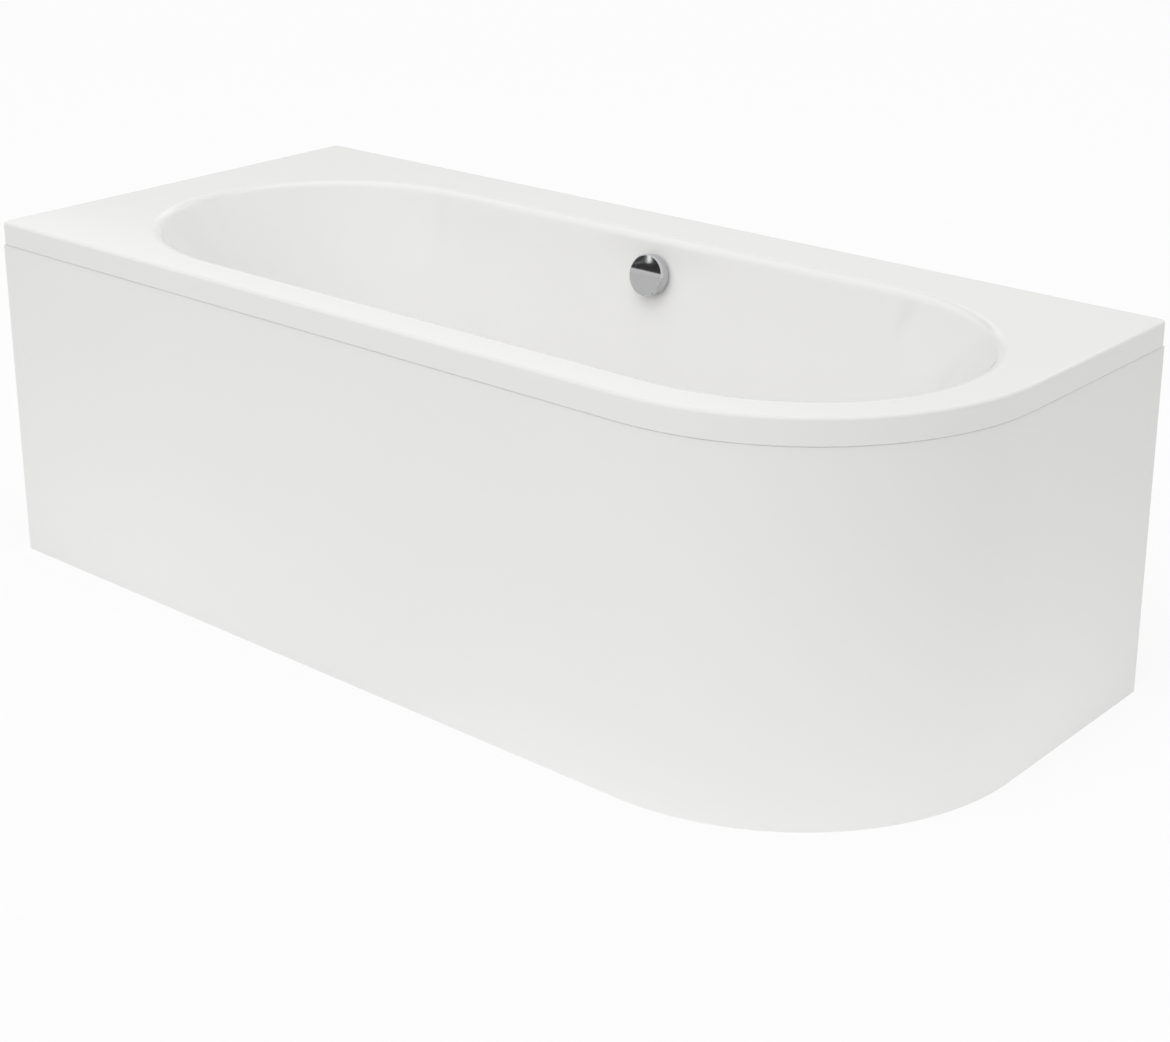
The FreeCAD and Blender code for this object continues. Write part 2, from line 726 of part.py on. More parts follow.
def panel_strip(inset, depth, low, high):
    """Return the strip that follows the front, the corner and the right end."""
    centre = Vector(HALF_LENGTH - FRONT_CORNER_RADIUS, FRONT_CORNER_RADIUS - HALF_WIDTH, 0)
    left = PANEL_INSET - HALF_LENGTH
    back = HALF_WIDTH - PANEL_INSET
    edges = []
    ends = []
    for step in (inset, inset + depth):
        front = step - HALF_WIDTH
        right = HALF_LENGTH - step
        circle = Part.Circle(centre, Vector(0, 0, 1), FRONT_CORNER_RADIUS - step)
        corner = Part.Arc(circle, -math.pi / 2, 0).toShape()
        start = Vector(left, front, 0)
        finish = Vector(right, back, 0)
        edges.append(Part.makeLine(start, Vector(centre.x, front, 0)))
        edges.append(corner)
        edges.append(Part.makeLine(Vector(right, centre.y, 0), finish))
        ends.append((start, finish))
    edges.append(Part.makeLine(ends[0][0], ends[1][0]))
    edges.append(Part.makeLine(ends[0][1], ends[1][1]))
    return prism(Part.Wire(Part.__sortEdges__(edges)), low, high)


def bath_panel():
    """Return the one-piece panel with returned top, foot and ends."""
    wall = panel_strip(PANEL_INSET, PANEL_WALL, 0, PANEL_TOP)
    top = panel_strip(PANEL_INSET, PANEL_TOP_RETURN, PANEL_TOP - PANEL_WALL, PANEL_TOP)
    foot = panel_strip(PANEL_INSET, PANEL_FOOT_RETURN, 0, PANEL_WALL)
    left = PANEL_INSET - HALF_LENGTH
    front = PANEL_INSET - HALF_WIDTH
    left_end = block(left, front, 0, left + PANEL_WALL, front + PANEL_END_RETURN, PANEL_TOP)
    right = HALF_LENGTH - PANEL_INSET
    back = HALF_WIDTH - PANEL_INSET
    back_end = block(right - PANEL_END_RETURN, back - PANEL_WALL, 0, right, back, PANEL_TOP)
    panel = fused([wall, top, foot, left_end, back_end])
    top_line = [
        edge for edge in edges_on(panel, panel_top_line())
        if edge.Length > PANEL_END_RETURN
    ]
    return panel.makeFillet(PANEL_EDGE_RADIUS, top_line)


def panel_top_line():
    """Return the outer top line of the panel."""
    front = PANEL_INSET - HALF_WIDTH
    right = HALF_LENGTH - PANEL_INSET
    centre = Vector(HALF_LENGTH - FRONT_CORNER_RADIUS, FRONT_CORNER_RADIUS - HALF_WIDTH, 0)
    circle = Part.Circle(centre, Vector(0, 0, 1), FRONT_CORNER_RADIUS - PANEL_INSET)
    edges = [
        Part.makeLine(Vector(PANEL_INSET - HALF_LENGTH, front, 0), Vector(centre.x, front, 0)),
        Part.Arc(circle, -math.pi / 2, 0).toShape(),
        Part.makeLine(Vector(right, centre.y, 0), Vector(right, HALF_WIDTH - PANEL_INSET, 0)),
    ]
    line = Part.Wire(edges)
    line.translate(Vector(0, 0, PANEL_TOP))
    return line


def panel_clip():
    """Return a joggled spring clip, +Y running in from the bath's edge.

    Its upper leg is screwed under a batten, and its lower leg holds up the
    return along the panel's top.
    """
    half = CLIP_WIDTH / 2
    step_near = PANEL_INSET + PANEL_TOP_RETURN + CLIP_THICKNESS
    step_far = step_near + CLIP_THICKNESS
    shelf_top = PANEL_TOP - PANEL_WALL
    shelf = shelf_top - CLIP_THICKNESS
    far = batten_span(LIP_WALL + RIM_BATTEN_GAP, NARROW_BATTEN_WIDTH)[1]
    upper = block(-half, step_near, LIP_BASE - CLIP_THICKNESS, half, far, LIP_BASE)
    riser = block(-half, step_near, shelf, half, step_far, LIP_BASE)
    lower = block(-half, step_near - CLIP_GRIP, shelf, half, step_far, shelf_top)
    clip = fused([upper, riser, lower])
    hole = screw_hole(CLIP_THICKNESS + 1)
    return clip.cut(placed(hole, 0, clip_screw_inset(), LIP_BASE - CLIP_THICKNESS))


def clip_placements():
    """Return the place and turn of each panel clip."""
    flat = FreeCAD.Rotation(Vector(0, 0, 1), 0)
    quarter = FreeCAD.Rotation(Vector(0, 0, 1), 90)
    placements = [FreeCAD.Placement(Vector(x, -HALF_WIDTH, 0), flat) for x in front_clip_places()]
    placements.append(FreeCAD.Placement(Vector(HALF_LENGTH, end_clip_place(), 0), quarter))
    return placements


def at_clips(shape):
    """Return a copy of a shape at every panel clip."""
    copies = []
    for placement in clip_placements():
        copy = shape.copy()
        copy.Placement = placement.multiply(copy.Placement)
        copies.append(copy)
    return Part.makeCompound(copies)


def panel_clips():
    """Return all the panel clips."""
    return at_clips(panel_clip())


def panel_clip_screws():
    """Return the screw of each panel clip."""
    return at_clips(placed(screw(), 0, clip_screw_inset(), LIP_BASE - CLIP_THICKNESS))


def wall_bracket():
    """Return an angle bracket, the wall at Y = 0 and the bath on the -Y side."""
    half = BRACKET_WIDTH / 2
    shelf_base = LIP_BASE - BRACKET_THICKNESS
    shelf = block(-half, -BRACKET_REACH, shelf_base, half, 0, LIP_BASE)
    leg = block(-half, -BRACKET_THICKNESS, LIP_BASE - BRACKET_DROP, half, 0, LIP_BASE)
    angle = fused([shelf, leg])
    hole = Part.makeCylinder(
        BRACKET_HOLE_RADIUS,
        2 * BRACKET_THICKNESS,
        Vector(0, -1.5 * BRACKET_THICKNESS, LIP_BASE - BRACKET_HOLE_DROP),
        Vector(0, 1, 0),
    )
    for side in (-1, 1):
        x = side * BRACKET_SCREW_SPACING / 2
        angle = angle.cut(placed(hole, x, 0, 0))
        drilled = screw_hole(BRACKET_THICKNESS + 1)
        angle = angle.cut(placed(drilled, x, -bracket_screw_inset(), shelf_base))
    return angle


def back_bracket(place):
    """Return a wall bracket on the back rim."""
    return placed(wall_bracket(), place, HALF_WIDTH, 0)


def end_bracket():
    """Return the wall bracket on the left-hand rim."""
    turn = FreeCAD.Rotation(Vector(0, 0, 1), 90)
    bracket = wall_bracket()
    bracket.Placement = FreeCAD.Placement(Vector(-HALF_LENGTH, 0, 0), turn)
    return bracket


def wall_bracket_screws():
    """Return the screws that hold the wall brackets to the battens."""
    places = bracket_screw_places("left", 0)
    for place in back_bracket_places():
        places += bracket_screw_places("back", place)
    low = LIP_BASE - BRACKET_THICKNESS
    return Part.makeCompound([placed(screw(), x, y, low) for x, y in places])


def spider(hub_radius, reach, bore, low, high):
    """Return a hub on radial spokes, to be joined to a surrounding ring."""
    hub = tube(hub_radius, 0, low, high)
    pieces = [hub]
    for index in range(SPOKE_COUNT):
        spoke = block(0, -SPOKE_WIDTH / 2, low, reach, SPOKE_WIDTH / 2, high)
        spoke.rotate(Vector(0, 0, 0), Vector(0, 0, 1), 90 + index * 360 / SPOKE_COUNT)
        pieces.append(spoke)
    return fused(pieces).cut(tube(bore, 0, low - 1, high + 1))


def overflow_knob():
    """Return the bevelled turning knob, a cup with a hub for its spindle."""
    low = KNOB_STAND_OFF
    high = KNOB_STAND_OFF + KNOB_DEPTH
    inside = KNOB_RADIUS - KNOB_WALL
    roof = high - KNOB_WALL
    bore = SPINDLE_RADIUS + SEAT_FIT
    return on_back_wall(turned([
        (KNOB_RADIUS - KNOB_BACK_EDGE, low),
        (KNOB_RADIUS, low + KNOB_BACK_EDGE),
        (KNOB_RADIUS, high - KNOB_BEVEL),
        (KNOB_RADIUS - KNOB_BEVEL, high),
        (0, high),
        (0, roof),
        (bore, roof),
        (bore, low + 1),
        (KNOB_HUB_RADIUS, low + 1),
        (KNOB_HUB_RADIUS, roof),
        (inside, roof),
        (inside, low),
    ]))


def overflow_spindle():
    """Return the knob's spindle with the crank disc that pulls the cable."""
    roof = KNOB_STAND_OFF + KNOB_DEPTH - KNOB_WALL
    crank_top = -FACE_TUBE_LENGTH - LIFT_GAP
    rod = tube(SPINDLE_RADIUS, 0, crank_top, roof)
    disc = tube(CRANK_RADIUS, 0, crank_top - CRANK_THICKNESS, crank_top)
    pin_base = crank_top - CRANK_THICKNESS - CRANK_PIN_LENGTH
    pin = placed(tube(CRANK_PIN_RADIUS, 0, pin_base, crank_top), CRANK_PIN_ARM, 0, 0)
    return on_back_wall(fused([rod, disc, pin]))


def overflow_face():
    """Return the face ring whose tube screws into the elbow."""
    tube_radius = OVERFLOW_HOLE_RADIUS - THREAD_FIT
    bore = tube_radius - FACE_TUBE_WALL
    ring = tube(FACE_RING_RADIUS, bore, 0, FACE_RING_THICKNESS)
    sleeve = tube(tube_radius, bore, -FACE_TUBE_LENGTH, 0)
    spindle_bore = SPINDLE_RADIUS + RUNNING_FIT
    carrier = spider(FACE_HUB_RADIUS, bore + 1, spindle_bore, -FACE_HUB_LENGTH, FACE_RING_THICKNESS)
    return on_back_wall(fused([ring, sleeve, carrier]))


def overflow_seal():
    """Return the gasket between the back wall and the elbow."""
    ring = tube(ELBOW_RADIUS, OVERFLOW_HOLE_RADIUS, -SHELL_WALL - ELBOW_SEAL, -SHELL_WALL)
    return on_back_wall(ring)


def spigot_place():
    """Return the X and Y of the overflow's hose spigot."""
    centre = overflow_origin()
    return centre.x, centre.y + SPIGOT_SETBACK


def spigot_end():
    """Return the height of the lower end of the overflow's spigot."""
    cup_depth = SHELL_WALL + ELBOW_SEAL + ELBOW_DEPTH
    cup_drop = ELBOW_RADIUS * math.cos(SIDE_DRAFT) + cup_depth * math.sin(SIDE_DRAFT)
    return overflow_origin().z - cup_drop - SPIGOT_NECK - SPIGOT_GRIP


def gland_place():
    """Return the X and Y of the cable gland under the elbow."""
    x, y = spigot_place()
    return x - CABLE_SIDE_STEP, y


def overflow_elbow():
    """Return the elbow behind the wall, with its hose spigot and cable gland."""
    face = -SHELL_WALL - ELBOW_SEAL
    base = face - ELBOW_DEPTH
    cup = on_back_wall(tube(ELBOW_RADIUS, 0, base, face))
    rim = [edge for edge in cup.Edges if edge.CenterOfMass.y > overflow_origin().y + ELBOW_DEPTH]
    cup = cup.makeFillet(ELBOW_WALL * 2, [edge for edge in rim if len(edge.Vertexes) == 1])
    hollow = ELBOW_RADIUS - ELBOW_WALL
    sleeve = OVERFLOW_HOLE_RADIUS - THREAD_FIT + RUNNING_FIT
    room = on_back_wall(tube(hollow, 0, base + ELBOW_WALL, face - ELBOW_WALL))
    mouth = on_back_wall(tube(sleeve, 0, face - ELBOW_WALL, face))
    x, y = spigot_place()
    low = spigot_end()
    high = overflow_origin().z - ELBOW_RADIUS / 2
    spigot_radius = HOSE_BORE - THREAD_FIT
    spigot_bore = spigot_radius - ELBOW_WALL
    spigot = placed(tube(spigot_radius, 0, low, high), x, y, 0)
    stop = low + SPIGOT_GRIP
    collar = placed(tube(HOSE_RADIUS, 0, stop, high), x, y, 0)
    gland_x, gland_y = gland_place()
    gland = placed(tube(CABLE_GLAND_RADIUS, 0, stop, high), gland_x, gland_y, 0)
    bore = placed(tube(spigot_bore, 0, low - 1, high), x, y, 0)
    cable_bore = placed(tube(CABLE_RADIUS + RUNNING_FIT, 0, stop - 1, high), gland_x, gland_y, 0)
    whole = fused([cup, collar, spigot, gland])
    return whole.cut([room, mouth, bore, cable_bore])


def hose_corner():
    """Return the point where the hose's two straight runs would meet."""
    x, y = spigot_place()
    return Vector(x, y, HOSE_HEIGHT)


def hose_ends():
    """Return the upper and lower ends of the hose."""
    corner = hose_corner()
    upper = Vector(corner.x, corner.y, spigot_end() + SPIGOT_GRIP)
    lower = Vector(corner.x, WASTE_Y + BODY_RADIUS + ELBOW_WALL, corner.z)
    return upper, lower


def hose_station(distance):
    """Return the point and heading of the hose at a distance from its top."""
    corner = hose_corner()
    upper, lower = hose_ends()
    drop = upper.z - corner.z - HOSE_BEND
    sweep = HOSE_BEND * math.pi / 2
    if distance <= drop:
        return upper + Vector(0, 0, -distance), Vector(0, 0, -1)
    if distance <= drop + sweep:
        angle = (distance - drop) / HOSE_BEND
        centre = corner + Vector(0, -HOSE_BEND, HOSE_BEND)
        radial = Vector(0, math.cos(angle), -math.sin(angle))
        return centre + radial * HOSE_BEND, Vector(0, -math.sin(angle), -math.cos(angle))
    run = distance - drop - sweep
    return corner + Vector(0, -HOSE_BEND - run, 0), Vector(0, -1, 0)


def hose_length():
    """Return the length of the hose along its middle line."""
    corner = hose_corner()
    upper, lower = hose_ends()
    drop = upper.z - corner.z - HOSE_BEND
    run = corner.y - HOSE_BEND - lower.y
    return drop + HOSE_BEND * math.pi / 2 + run


def hose_ring(distance, radius):
    """Return a circle about the hose's line, started on the same side."""
    point, heading = hose_station(distance)
    side = Vector(1, 0, 0)
    turn = FreeCAD.Rotation(side, heading.cross(side), heading, "ZXY")
    ring = Part.Wire(Part.makeCircle(radius))
    ring.Placement = FreeCAD.Placement(point, turn)
    return ring


def overflow_hose():
    """Return the ribbed hose with plain ends, bored all the way."""
    length = hose_length()
    crest = HOSE_RADIUS + RIB_HEIGHT
    count = int((length - 2 * HOSE_PLAIN_END) / RIB_PITCH)
    first = (length - count * RIB_PITCH) / 2
    rings = [hose_ring(0, HOSE_RADIUS)]
    for index in range(count):
        start = first + index * RIB_PITCH
        rings.append(hose_ring(start, HOSE_RADIUS))
        rings.append(hose_ring(start + RIB_PITCH * 0.3, crest))
        rings.append(hose_ring(start + RIB_PITCH * 0.6, crest))
        rings.append(hose_ring(start + RIB_PITCH * 0.9, HOSE_RADIUS))
    rings.append(hose_ring(length, HOSE_RADIUS))
    outside = Part.makeLoft(rings, True, True)
    return outside.cut(hose_bore())


def hose_bore():
    """Return the round passage through the hose."""
    corner = hose_corner()
    upper, lower = hose_ends()
    bend_start = corner + Vector(0, 0, HOSE_BEND)
    bend_end = corner + Vector(0, -HOSE_BEND, 0)
    middle = hose_station(upper.z - corner.z - HOSE_BEND + HOSE_BEND * math.pi / 4)[0]
    line = Part.Wire([
        Part.makeLine(upper, bend_start),
        Part.Arc(bend_start, middle, bend_end).toShape(),
        Part.makeLine(bend_end, lower),
    ])
    return line.makePipeShell([hose_ring(0, HOSE_BORE)], True, False)


def ribbed_nut(radius, bore, low, high):
    """Return a moulded ring nut with grip ribs round it."""
    ring = tube(radius, 0, low, high)
    rib = radius * 0.09
    ribs = []
    for index in range(NUT_GRIP_RIBS):
        angle = 2 * math.pi * index / NUT_GRIP_RIBS
        x = (radius - rib / 2) * math.cos(angle)
        y = (radius - rib / 2) * math.sin(angle)
        ribs.append(placed(tube(rib * 1.5, 0, low + 1, high - 1), x, y, 0))
    return fused([ring] + ribs).cut(tube(bore, 0, low - 1, high + 1))


def hose_nut(at_waste):
    """Return the ring nut on one end of the hose."""
    bore = HOSE_RADIUS + SEAT_FIT
    nut = ribbed_nut(HOSE_NUT_RADIUS, bore, 0, HOSE_NUT_LENGTH)
    upper, lower = hose_ends()
    if not at_waste:
        return placed(nut, upper.x, upper.y, upper.z - HOSE_NUT_LENGTH)
    nut.Placement = FreeCAD.Placement(lower, FreeCAD.Rotation(Vector(1, 0, 0), -90))
    return nut


def cable_route():
    """Return the cable's points with the bend radius at each inner point."""
    x, y = gland_place()
    body_left = WASTE_X - BODY_RADIUS - CABLE_BODY_GAP
    turn_y = WASTE_Y - BODY_RADIUS - CABLE_LOOP_REACH
    crank_height = LEVER_PIVOT_HEIGHT + LEVER_CRANK
    port_y = WASTE_Y - BODY_RADIUS - PORT_LENGTH / 2
    return [
        (Vector(x, y, spigot_end() + SPIGOT_GRIP + CABLE_GLAND_SINK), 0),
        (Vector(x, y, crank_height), CABLE_DROP_BEND),
        (Vector(body_left, y - CABLE_RUN_BACK, crank_height), CABLE_SIDE_BEND),
        (Vector(body_left, turn_y, crank_height), CABLE_LOOP_BEND),
        (Vector(WASTE_X, turn_y, crank_height), CABLE_LOOP_BEND),
        (Vector(WASTE_X, port_y, crank_height), 0),
    ]


def rounded_path(route):
    """Return a wire of straight runs with a tangent arc at each inner point."""
    edges = []
    last = route[0][0]
    for index in range(1, len(route) - 1):
        point, radius = route[index]
        before = (route[index - 1][0] - point).normalize()
        after = (route[index + 1][0] - point).normalize()
        half_angle = before.getAngle(after) / 2
        reach = radius / math.tan(half_angle)
        start = point + before * reach
        finish = point + after * reach
        inward = (before + after).normalize()
        middle = point + inward * (radius / math.sin(half_angle) - radius)
        edges.append(Part.makeLine(last, start))
        edges.append(Part.Arc(start, middle, finish).toShape())
        last = finish
    edges.append(Part.makeLine(last, route[-1][0]))
    return Part.Wire(edges)


def pipe_along(path, radius):
    """Return a round rod that follows a smooth wire."""
    start = path.Edges[0].firstVertex().Point
    heading = (path.Edges[0].lastVertex().Point - start).normalize()
    ring = Part.Wire(Part.makeCircle(radius, start, heading))
    return path.makePipeShell([ring], True, False)


def pull_cable():
    """Return the sheathed cable from the knob's crank to the waste."""
    return pipe_along(rounded_path(cable_route()), CABLE_RADIUS)


def waste_flange():
    """Return the waste's rim with its tail and the plug's guide."""
    bore = FLANGE_TAIL_RADIUS - FLANGE_TAIL_WALL
    under = FLOOR_HEIGHT + FLANGE_SEAL
    tail_end = SHELL_BASE - FLANGE_TAIL_DROP
    edge = FLANGE_THICKNESS / 2
    body = turned([
        (bore, tail_end),
        (FLANGE_TAIL_RADIUS, tail_end),
        (FLANGE_TAIL_RADIUS, under),
        (FLANGE_RADIUS, under),
        (FLANGE_RADIUS, under + edge / 2),
        (FLANGE_RADIUS - 2 * edge, FLANGE_TOP),
        (bore + edge, FLANGE_TOP),
        (bore, FLANGE_TOP - edge),
    ])
    guide = spider(GUIDE_HUB_RADIUS, bore + 1, STEM_RADIUS + RUNNING_FIT, tail_end, tail_end + GUIDE_HEIGHT)
    return placed(fused([body, guide]), WASTE_X, WASTE_Y, 0)


def flange_seal():
    """Return the washer between the waste's rim and the floor."""
    ring = tube(FLANGE_RADIUS - FLANGE_SEAL_INSET, WASTE_HOLE_RADIUS, FLOOR_HEIGHT, FLOOR_HEIGHT + FLANGE_SEAL)
    return placed(ring, WASTE_X, WASTE_Y, 0)


def body_seal():
    """Return the gasket between the waste body and the floor's underside."""
    ring = tube(BODY_FLANGE_RADIUS - BODY_SEAL_INSET, WASTE_HOLE_RADIUS, BODY_TOP, SHELL_BASE)
    return placed(ring, WASTE_X, WASTE_Y, 0)


def lever_pivot():
    """Return the middle of the lifting lever's pivot pin."""
    return Vector(WASTE_X, WASTE_Y - LEVER_ARM * (1 + math.cos(LEVER_SWING)) / 2, LEVER_PIVOT_HEIGHT)


def waste_body():
    """Return the waste's body with its hose spigot and cable port."""
    throat = FLANGE_TAIL_RADIUS + RUNNING_FIT
    throat_end = SHELL_BASE - FLANGE_TAIL_DROP - 1
    floor = BODY_BASE - BODY_BASE_WALL
    outside = turned([
        (0, TAIL_END),
        (TRAP_RADIUS, TAIL_END),
        (TRAP_RADIUS, floor),
        (BODY_RADIUS - 3, floor),
        (BODY_RADIUS, floor + 3),
        (BODY_RADIUS, BODY_TOP - BODY_FLANGE_THICKNESS),
        (BODY_FLANGE_RADIUS, BODY_TOP - BODY_FLANGE_THICKNESS),
        (BODY_FLANGE_RADIUS, BODY_TOP),
        (0, BODY_TOP),
    ])
    inside = turned([
        (0, TAIL_END),
        (TRAP_BORE, TAIL_END),
        (TRAP_BORE, BODY_BASE),
        (BODY_CHAMBER_RADIUS, BODY_BASE + 3),
        (BODY_CHAMBER_RADIUS, throat_end),
        (throat, throat_end),
        (throat, BODY_TOP),
        (0, BODY_TOP),
    ])
    upper, lower = hose_ends()
    spigot_radius = HOSE_BORE - THREAD_FIT
    spigot_bore = spigot_radius - ELBOW_WALL
    inner_end = Vector(0, BODY_CHAMBER_RADIUS - 4, HOSE_HEIGHT)
    stop = Vector(0, lower.y - WASTE_Y, HOSE_HEIGHT)
    outer_end = stop + Vector(0, SPIGOT_GRIP, 0)
    collar = rod_along(HOSE_RADIUS, inner_end, stop)
    spigot = rod_along(spigot_radius, inner_end, outer_end)
    crank = Vector(0, -BODY_CHAMBER_RADIUS + 2, LEVER_PIVOT_HEIGHT + LEVER_CRANK)
    port_end = crank + Vector(0, BODY_CHAMBER_RADIUS - 2 - BODY_RADIUS - PORT_LENGTH, 0)
    port = rod_along(CABLE_GLAND_RADIUS, crank, port_end)
    pivot = lever_pivot() - Vector(WASTE_X, WASTE_Y, 0)
    reach = Vector(BODY_RADIUS, 0, 0)
    cuts = [
        inside,
        rod_along(spigot_bore, inner_end, outer_end),
        rod_along(CABLE_RADIUS + RUNNING_FIT, crank, port_end),
        rod_along(LEVER_PIN_RADIUS + SEAT_FIT, pivot - reach, pivot + reach),
    ]
    body = fused([outside, collar, spigot, port]).cut(cuts)
    return placed(body, WASTE_X, WASTE_Y, 0)


def lever_pin():
    """Return the pivot pin across the waste body."""
    pivot = lever_pivot()
    offset = WASTE_Y - pivot.y
    half = math.sqrt(BODY_RADIUS ** 2 - offset ** 2) - LEVER_PIN_SINK
    return rod_along(LEVER_PIN_RADIUS, pivot - Vector(half, 0, 0), pivot + Vector(half, 0, 0))


def lifting_lever():
    """Return the bell crank under the stem, in its lowered position.

    Its long arm lifts the stem and its short arm takes the cable.
    """
    half = LEVER_WIDTH / 2
    bar = LEVER_BAR / 2
    across = Vector(half, 0, 0)

    def cross_rod(radius, y, z):
        centre = Vector(0, y, z)
        return rod_along(radius, centre - across, centre + across)

    pieces = [
        cross_rod(LEVER_HUB_RADIUS, 0, 0),
        cross_rod(LEVER_TIP_RADIUS, LEVER_ARM, 0),
        cross_rod(LEVER_TIP_RADIUS, 0, LEVER_CRANK),
        block(-half, 0, -bar, half, LEVER_ARM, bar),
        block(-half, -bar, 0, half, bar, LEVER_CRANK),
    ]
    lever = fused(pieces)
    lever = lever.cut(cross_rod(LEVER_PIN_RADIUS + RUNNING_FIT, 0, 0))
    lever.rotate(Vector(0, 0, 0), Vector(1, 0, 0), -math.degrees(LEVER_SWING))
    pivot = lever_pivot()
    return placed(lever, pivot.x, pivot.y, pivot.z)


def stem_base():
    """Return the lower end of the stem, just above the lowered lever's tip."""
    return LEVER_PIVOT_HEIGHT - PLUG_LIFT / 2 + LEVER_TIP_RADIUS + LIFT_GAP


def plug_under():
    """Return the underside of the plug's cap when it is closed."""
    return FLANGE_TOP + LIFT_GAP


def waste_plug():
    """Return the plug's domed cap with the boss that carries its seal."""
    under = plug_under()
    boss = under - PLUG_SEAL_DEPTH
    bore = STEM_RADIUS + SEAT_FIT
    crown = under + PLUG_CROWN
    edge = under + PLUG_EDGE
    rise = crown - edge
    rim = PLUG_RADIUS - PLUG_EDGE_BEVEL
    dome_radius = (rim ** 2 + rise ** 2) / (2 * rise)
    half_angle = math.asin(rim / dome_radius) / 2
    dome_middle = Vector(
        dome_radius * math.sin(half_angle),
        0,
        crown - dome_radius * (1 - math.cos(half_angle)),
    )
    dome = Part.Arc(Vector(rim, 0, edge), dome_middle, Vector(0, 0, crown)).toShape()
    points = [
        (0, crown),
        (0, under),
        (bore, under),
        (bore, boss),
        (PLUG_BOSS_RADIUS, boss),
        (PLUG_BOSS_RADIUS, under),
        (rim, under),
        (PLUG_RADIUS, under + PLUG_EDGE_BEVEL),
        (PLUG_RADIUS, edge - PLUG_EDGE_BEVEL),
        (rim, edge),
    ]
    lines = Part.makePolygon([Vector(radius, 0, height) for radius, height in points])
    face = Part.Face(Part.Wire(lines.Edges + [dome]))
    cap = face.revolve(Vector(0, 0, 0), Vector(0, 0, 1), 360)
    return placed(cap, WASTE_X, WASTE_Y, 0)


def plug_stem():
    """Return the stem that the lever lifts, with a tapered lower end."""
    low = stem_base()
    stem = turned([
        (0, low),
        (STEM_RADIUS / 2, low),
        (STEM_RADIUS, low + STEM_RADIUS / 2),
        (STEM_RADIUS, plug_under()),
        (0, plug_under()),
    ])
    return placed(stem, WASTE_X, WASTE_Y, 0)


def plug_seal():
    """Return the seal round the plug's boss, clear of the tail's bore."""
    bore = FLANGE_TAIL_RADIUS - FLANGE_TAIL_WALL
    under = plug_under()
    ring = tube(bore - THREAD_FIT, PLUG_BOSS_RADIUS + SEAT_FIT, under - PLUG_SEAL_DEPTH, under)
    return placed(ring, WASTE_X, WASTE_Y, 0)


def trap_low():
    """Return the height of the trap's middle line at its lowest point."""
    return TAIL_END - TRAP_WASHER - TRAP_INLET_RUN - TRAP_BEND


def trap_outlet():
    """Return the middle of the trap's outlet mouth."""
    x = WASTE_X + 2 * TRAP_BEND
    z = trap_low() + TRAP_OUTLET_RISE
    return Vector(x, WASTE_Y + TRAP_OUTLET_REACH, z)


def trap_path():
    """Return the trap's middle line, from the waste's tail to its outlet."""
    low = trap_low()
    crown = low + TRAP_BEND
    outlet = trap_outlet()
    inlet = Vector(WASTE_X, WASTE_Y, TAIL_END - TRAP_WASHER)
    return rounded_path([
        (inlet, 0),
        (Vector(WASTE_X, WASTE_Y, crown - TRAP_BEND), TRAP_BEND - 0.01),
        (Vector(outlet.x, WASTE_Y, crown - TRAP_BEND), TRAP_BEND - 0.01),
        (Vector(outlet.x, WASTE_Y, outlet.z), TRAP_BEND),
        (outlet, 0),
    ])


def trap_bend():
    """Return the trap with a pipe socket at its outlet."""
    path = trap_path()
    outlet = trap_outlet()
    socket_start = outlet - Vector(0, SOCKET_DEPTH + SOCKET_STEP, 0)
    socket_floor = outlet - Vector(0, SOCKET_DEPTH, 0)
    socket = rod_along(SOCKET_RADIUS, socket_start, outlet)
    body = fused([pipe_along(path, TRAP_RADIUS), socket])
    return body.cut([pipe_along(path, TRAP_BORE), rod_along(PIPE_BORE, socket_floor, outlet)])


def trap_washer():
    """Return the flat washer between the waste's tail and the trap."""
    ring = tube(TRAP_RADIUS, TRAP_BORE, TAIL_END - TRAP_WASHER, TAIL_END)
    return placed(ring, WASTE_X, WASTE_Y, 0)


def trap_union_nut():
    """Return the nut that joins the trap to the waste's tail."""
    middle = TAIL_END - TRAP_WASHER / 2
    low = middle - UNION_NUT_LENGTH / 2
    nut = ribbed_nut(UNION_NUT_RADIUS, TRAP_RADIUS + SEAT_FIT, low, low + UNION_NUT_LENGTH)
    return placed(nut, WASTE_X, WASTE_Y, 0)


def along_outlet(shape):
    """Place a shape made about +Z so that +Z points out of the outlet."""
    seated = shape.copy()
    seated.Placement = FreeCAD.Placement(trap_outlet(), FreeCAD.Rotation(Vector(1, 0, 0), -90))
    return seated


def outlet_seal():
    """Return the rubber ring between the outlet socket and its nut."""
    return along_outlet(tube(SOCKET_RADIUS, PIPE_BORE, 0, OUTLET_SEAL_LENGTH))


def outlet_nut():
    """Return the nut that squeezes the outlet's seal on the pipe."""
    lip = OUTLET_SEAL_LENGTH + ELBOW_WALL
    grip = lip - OUTLET_NUT_LENGTH
    nut = ribbed_nut(OUTLET_NUT_RADIUS, PIPE_BORE, grip, lip)
    room = tube(SOCKET_RADIUS + SEAT_FIT, 0, grip - 1, OUTLET_SEAL_LENGTH)
    return along_outlet(nut.cut(room))


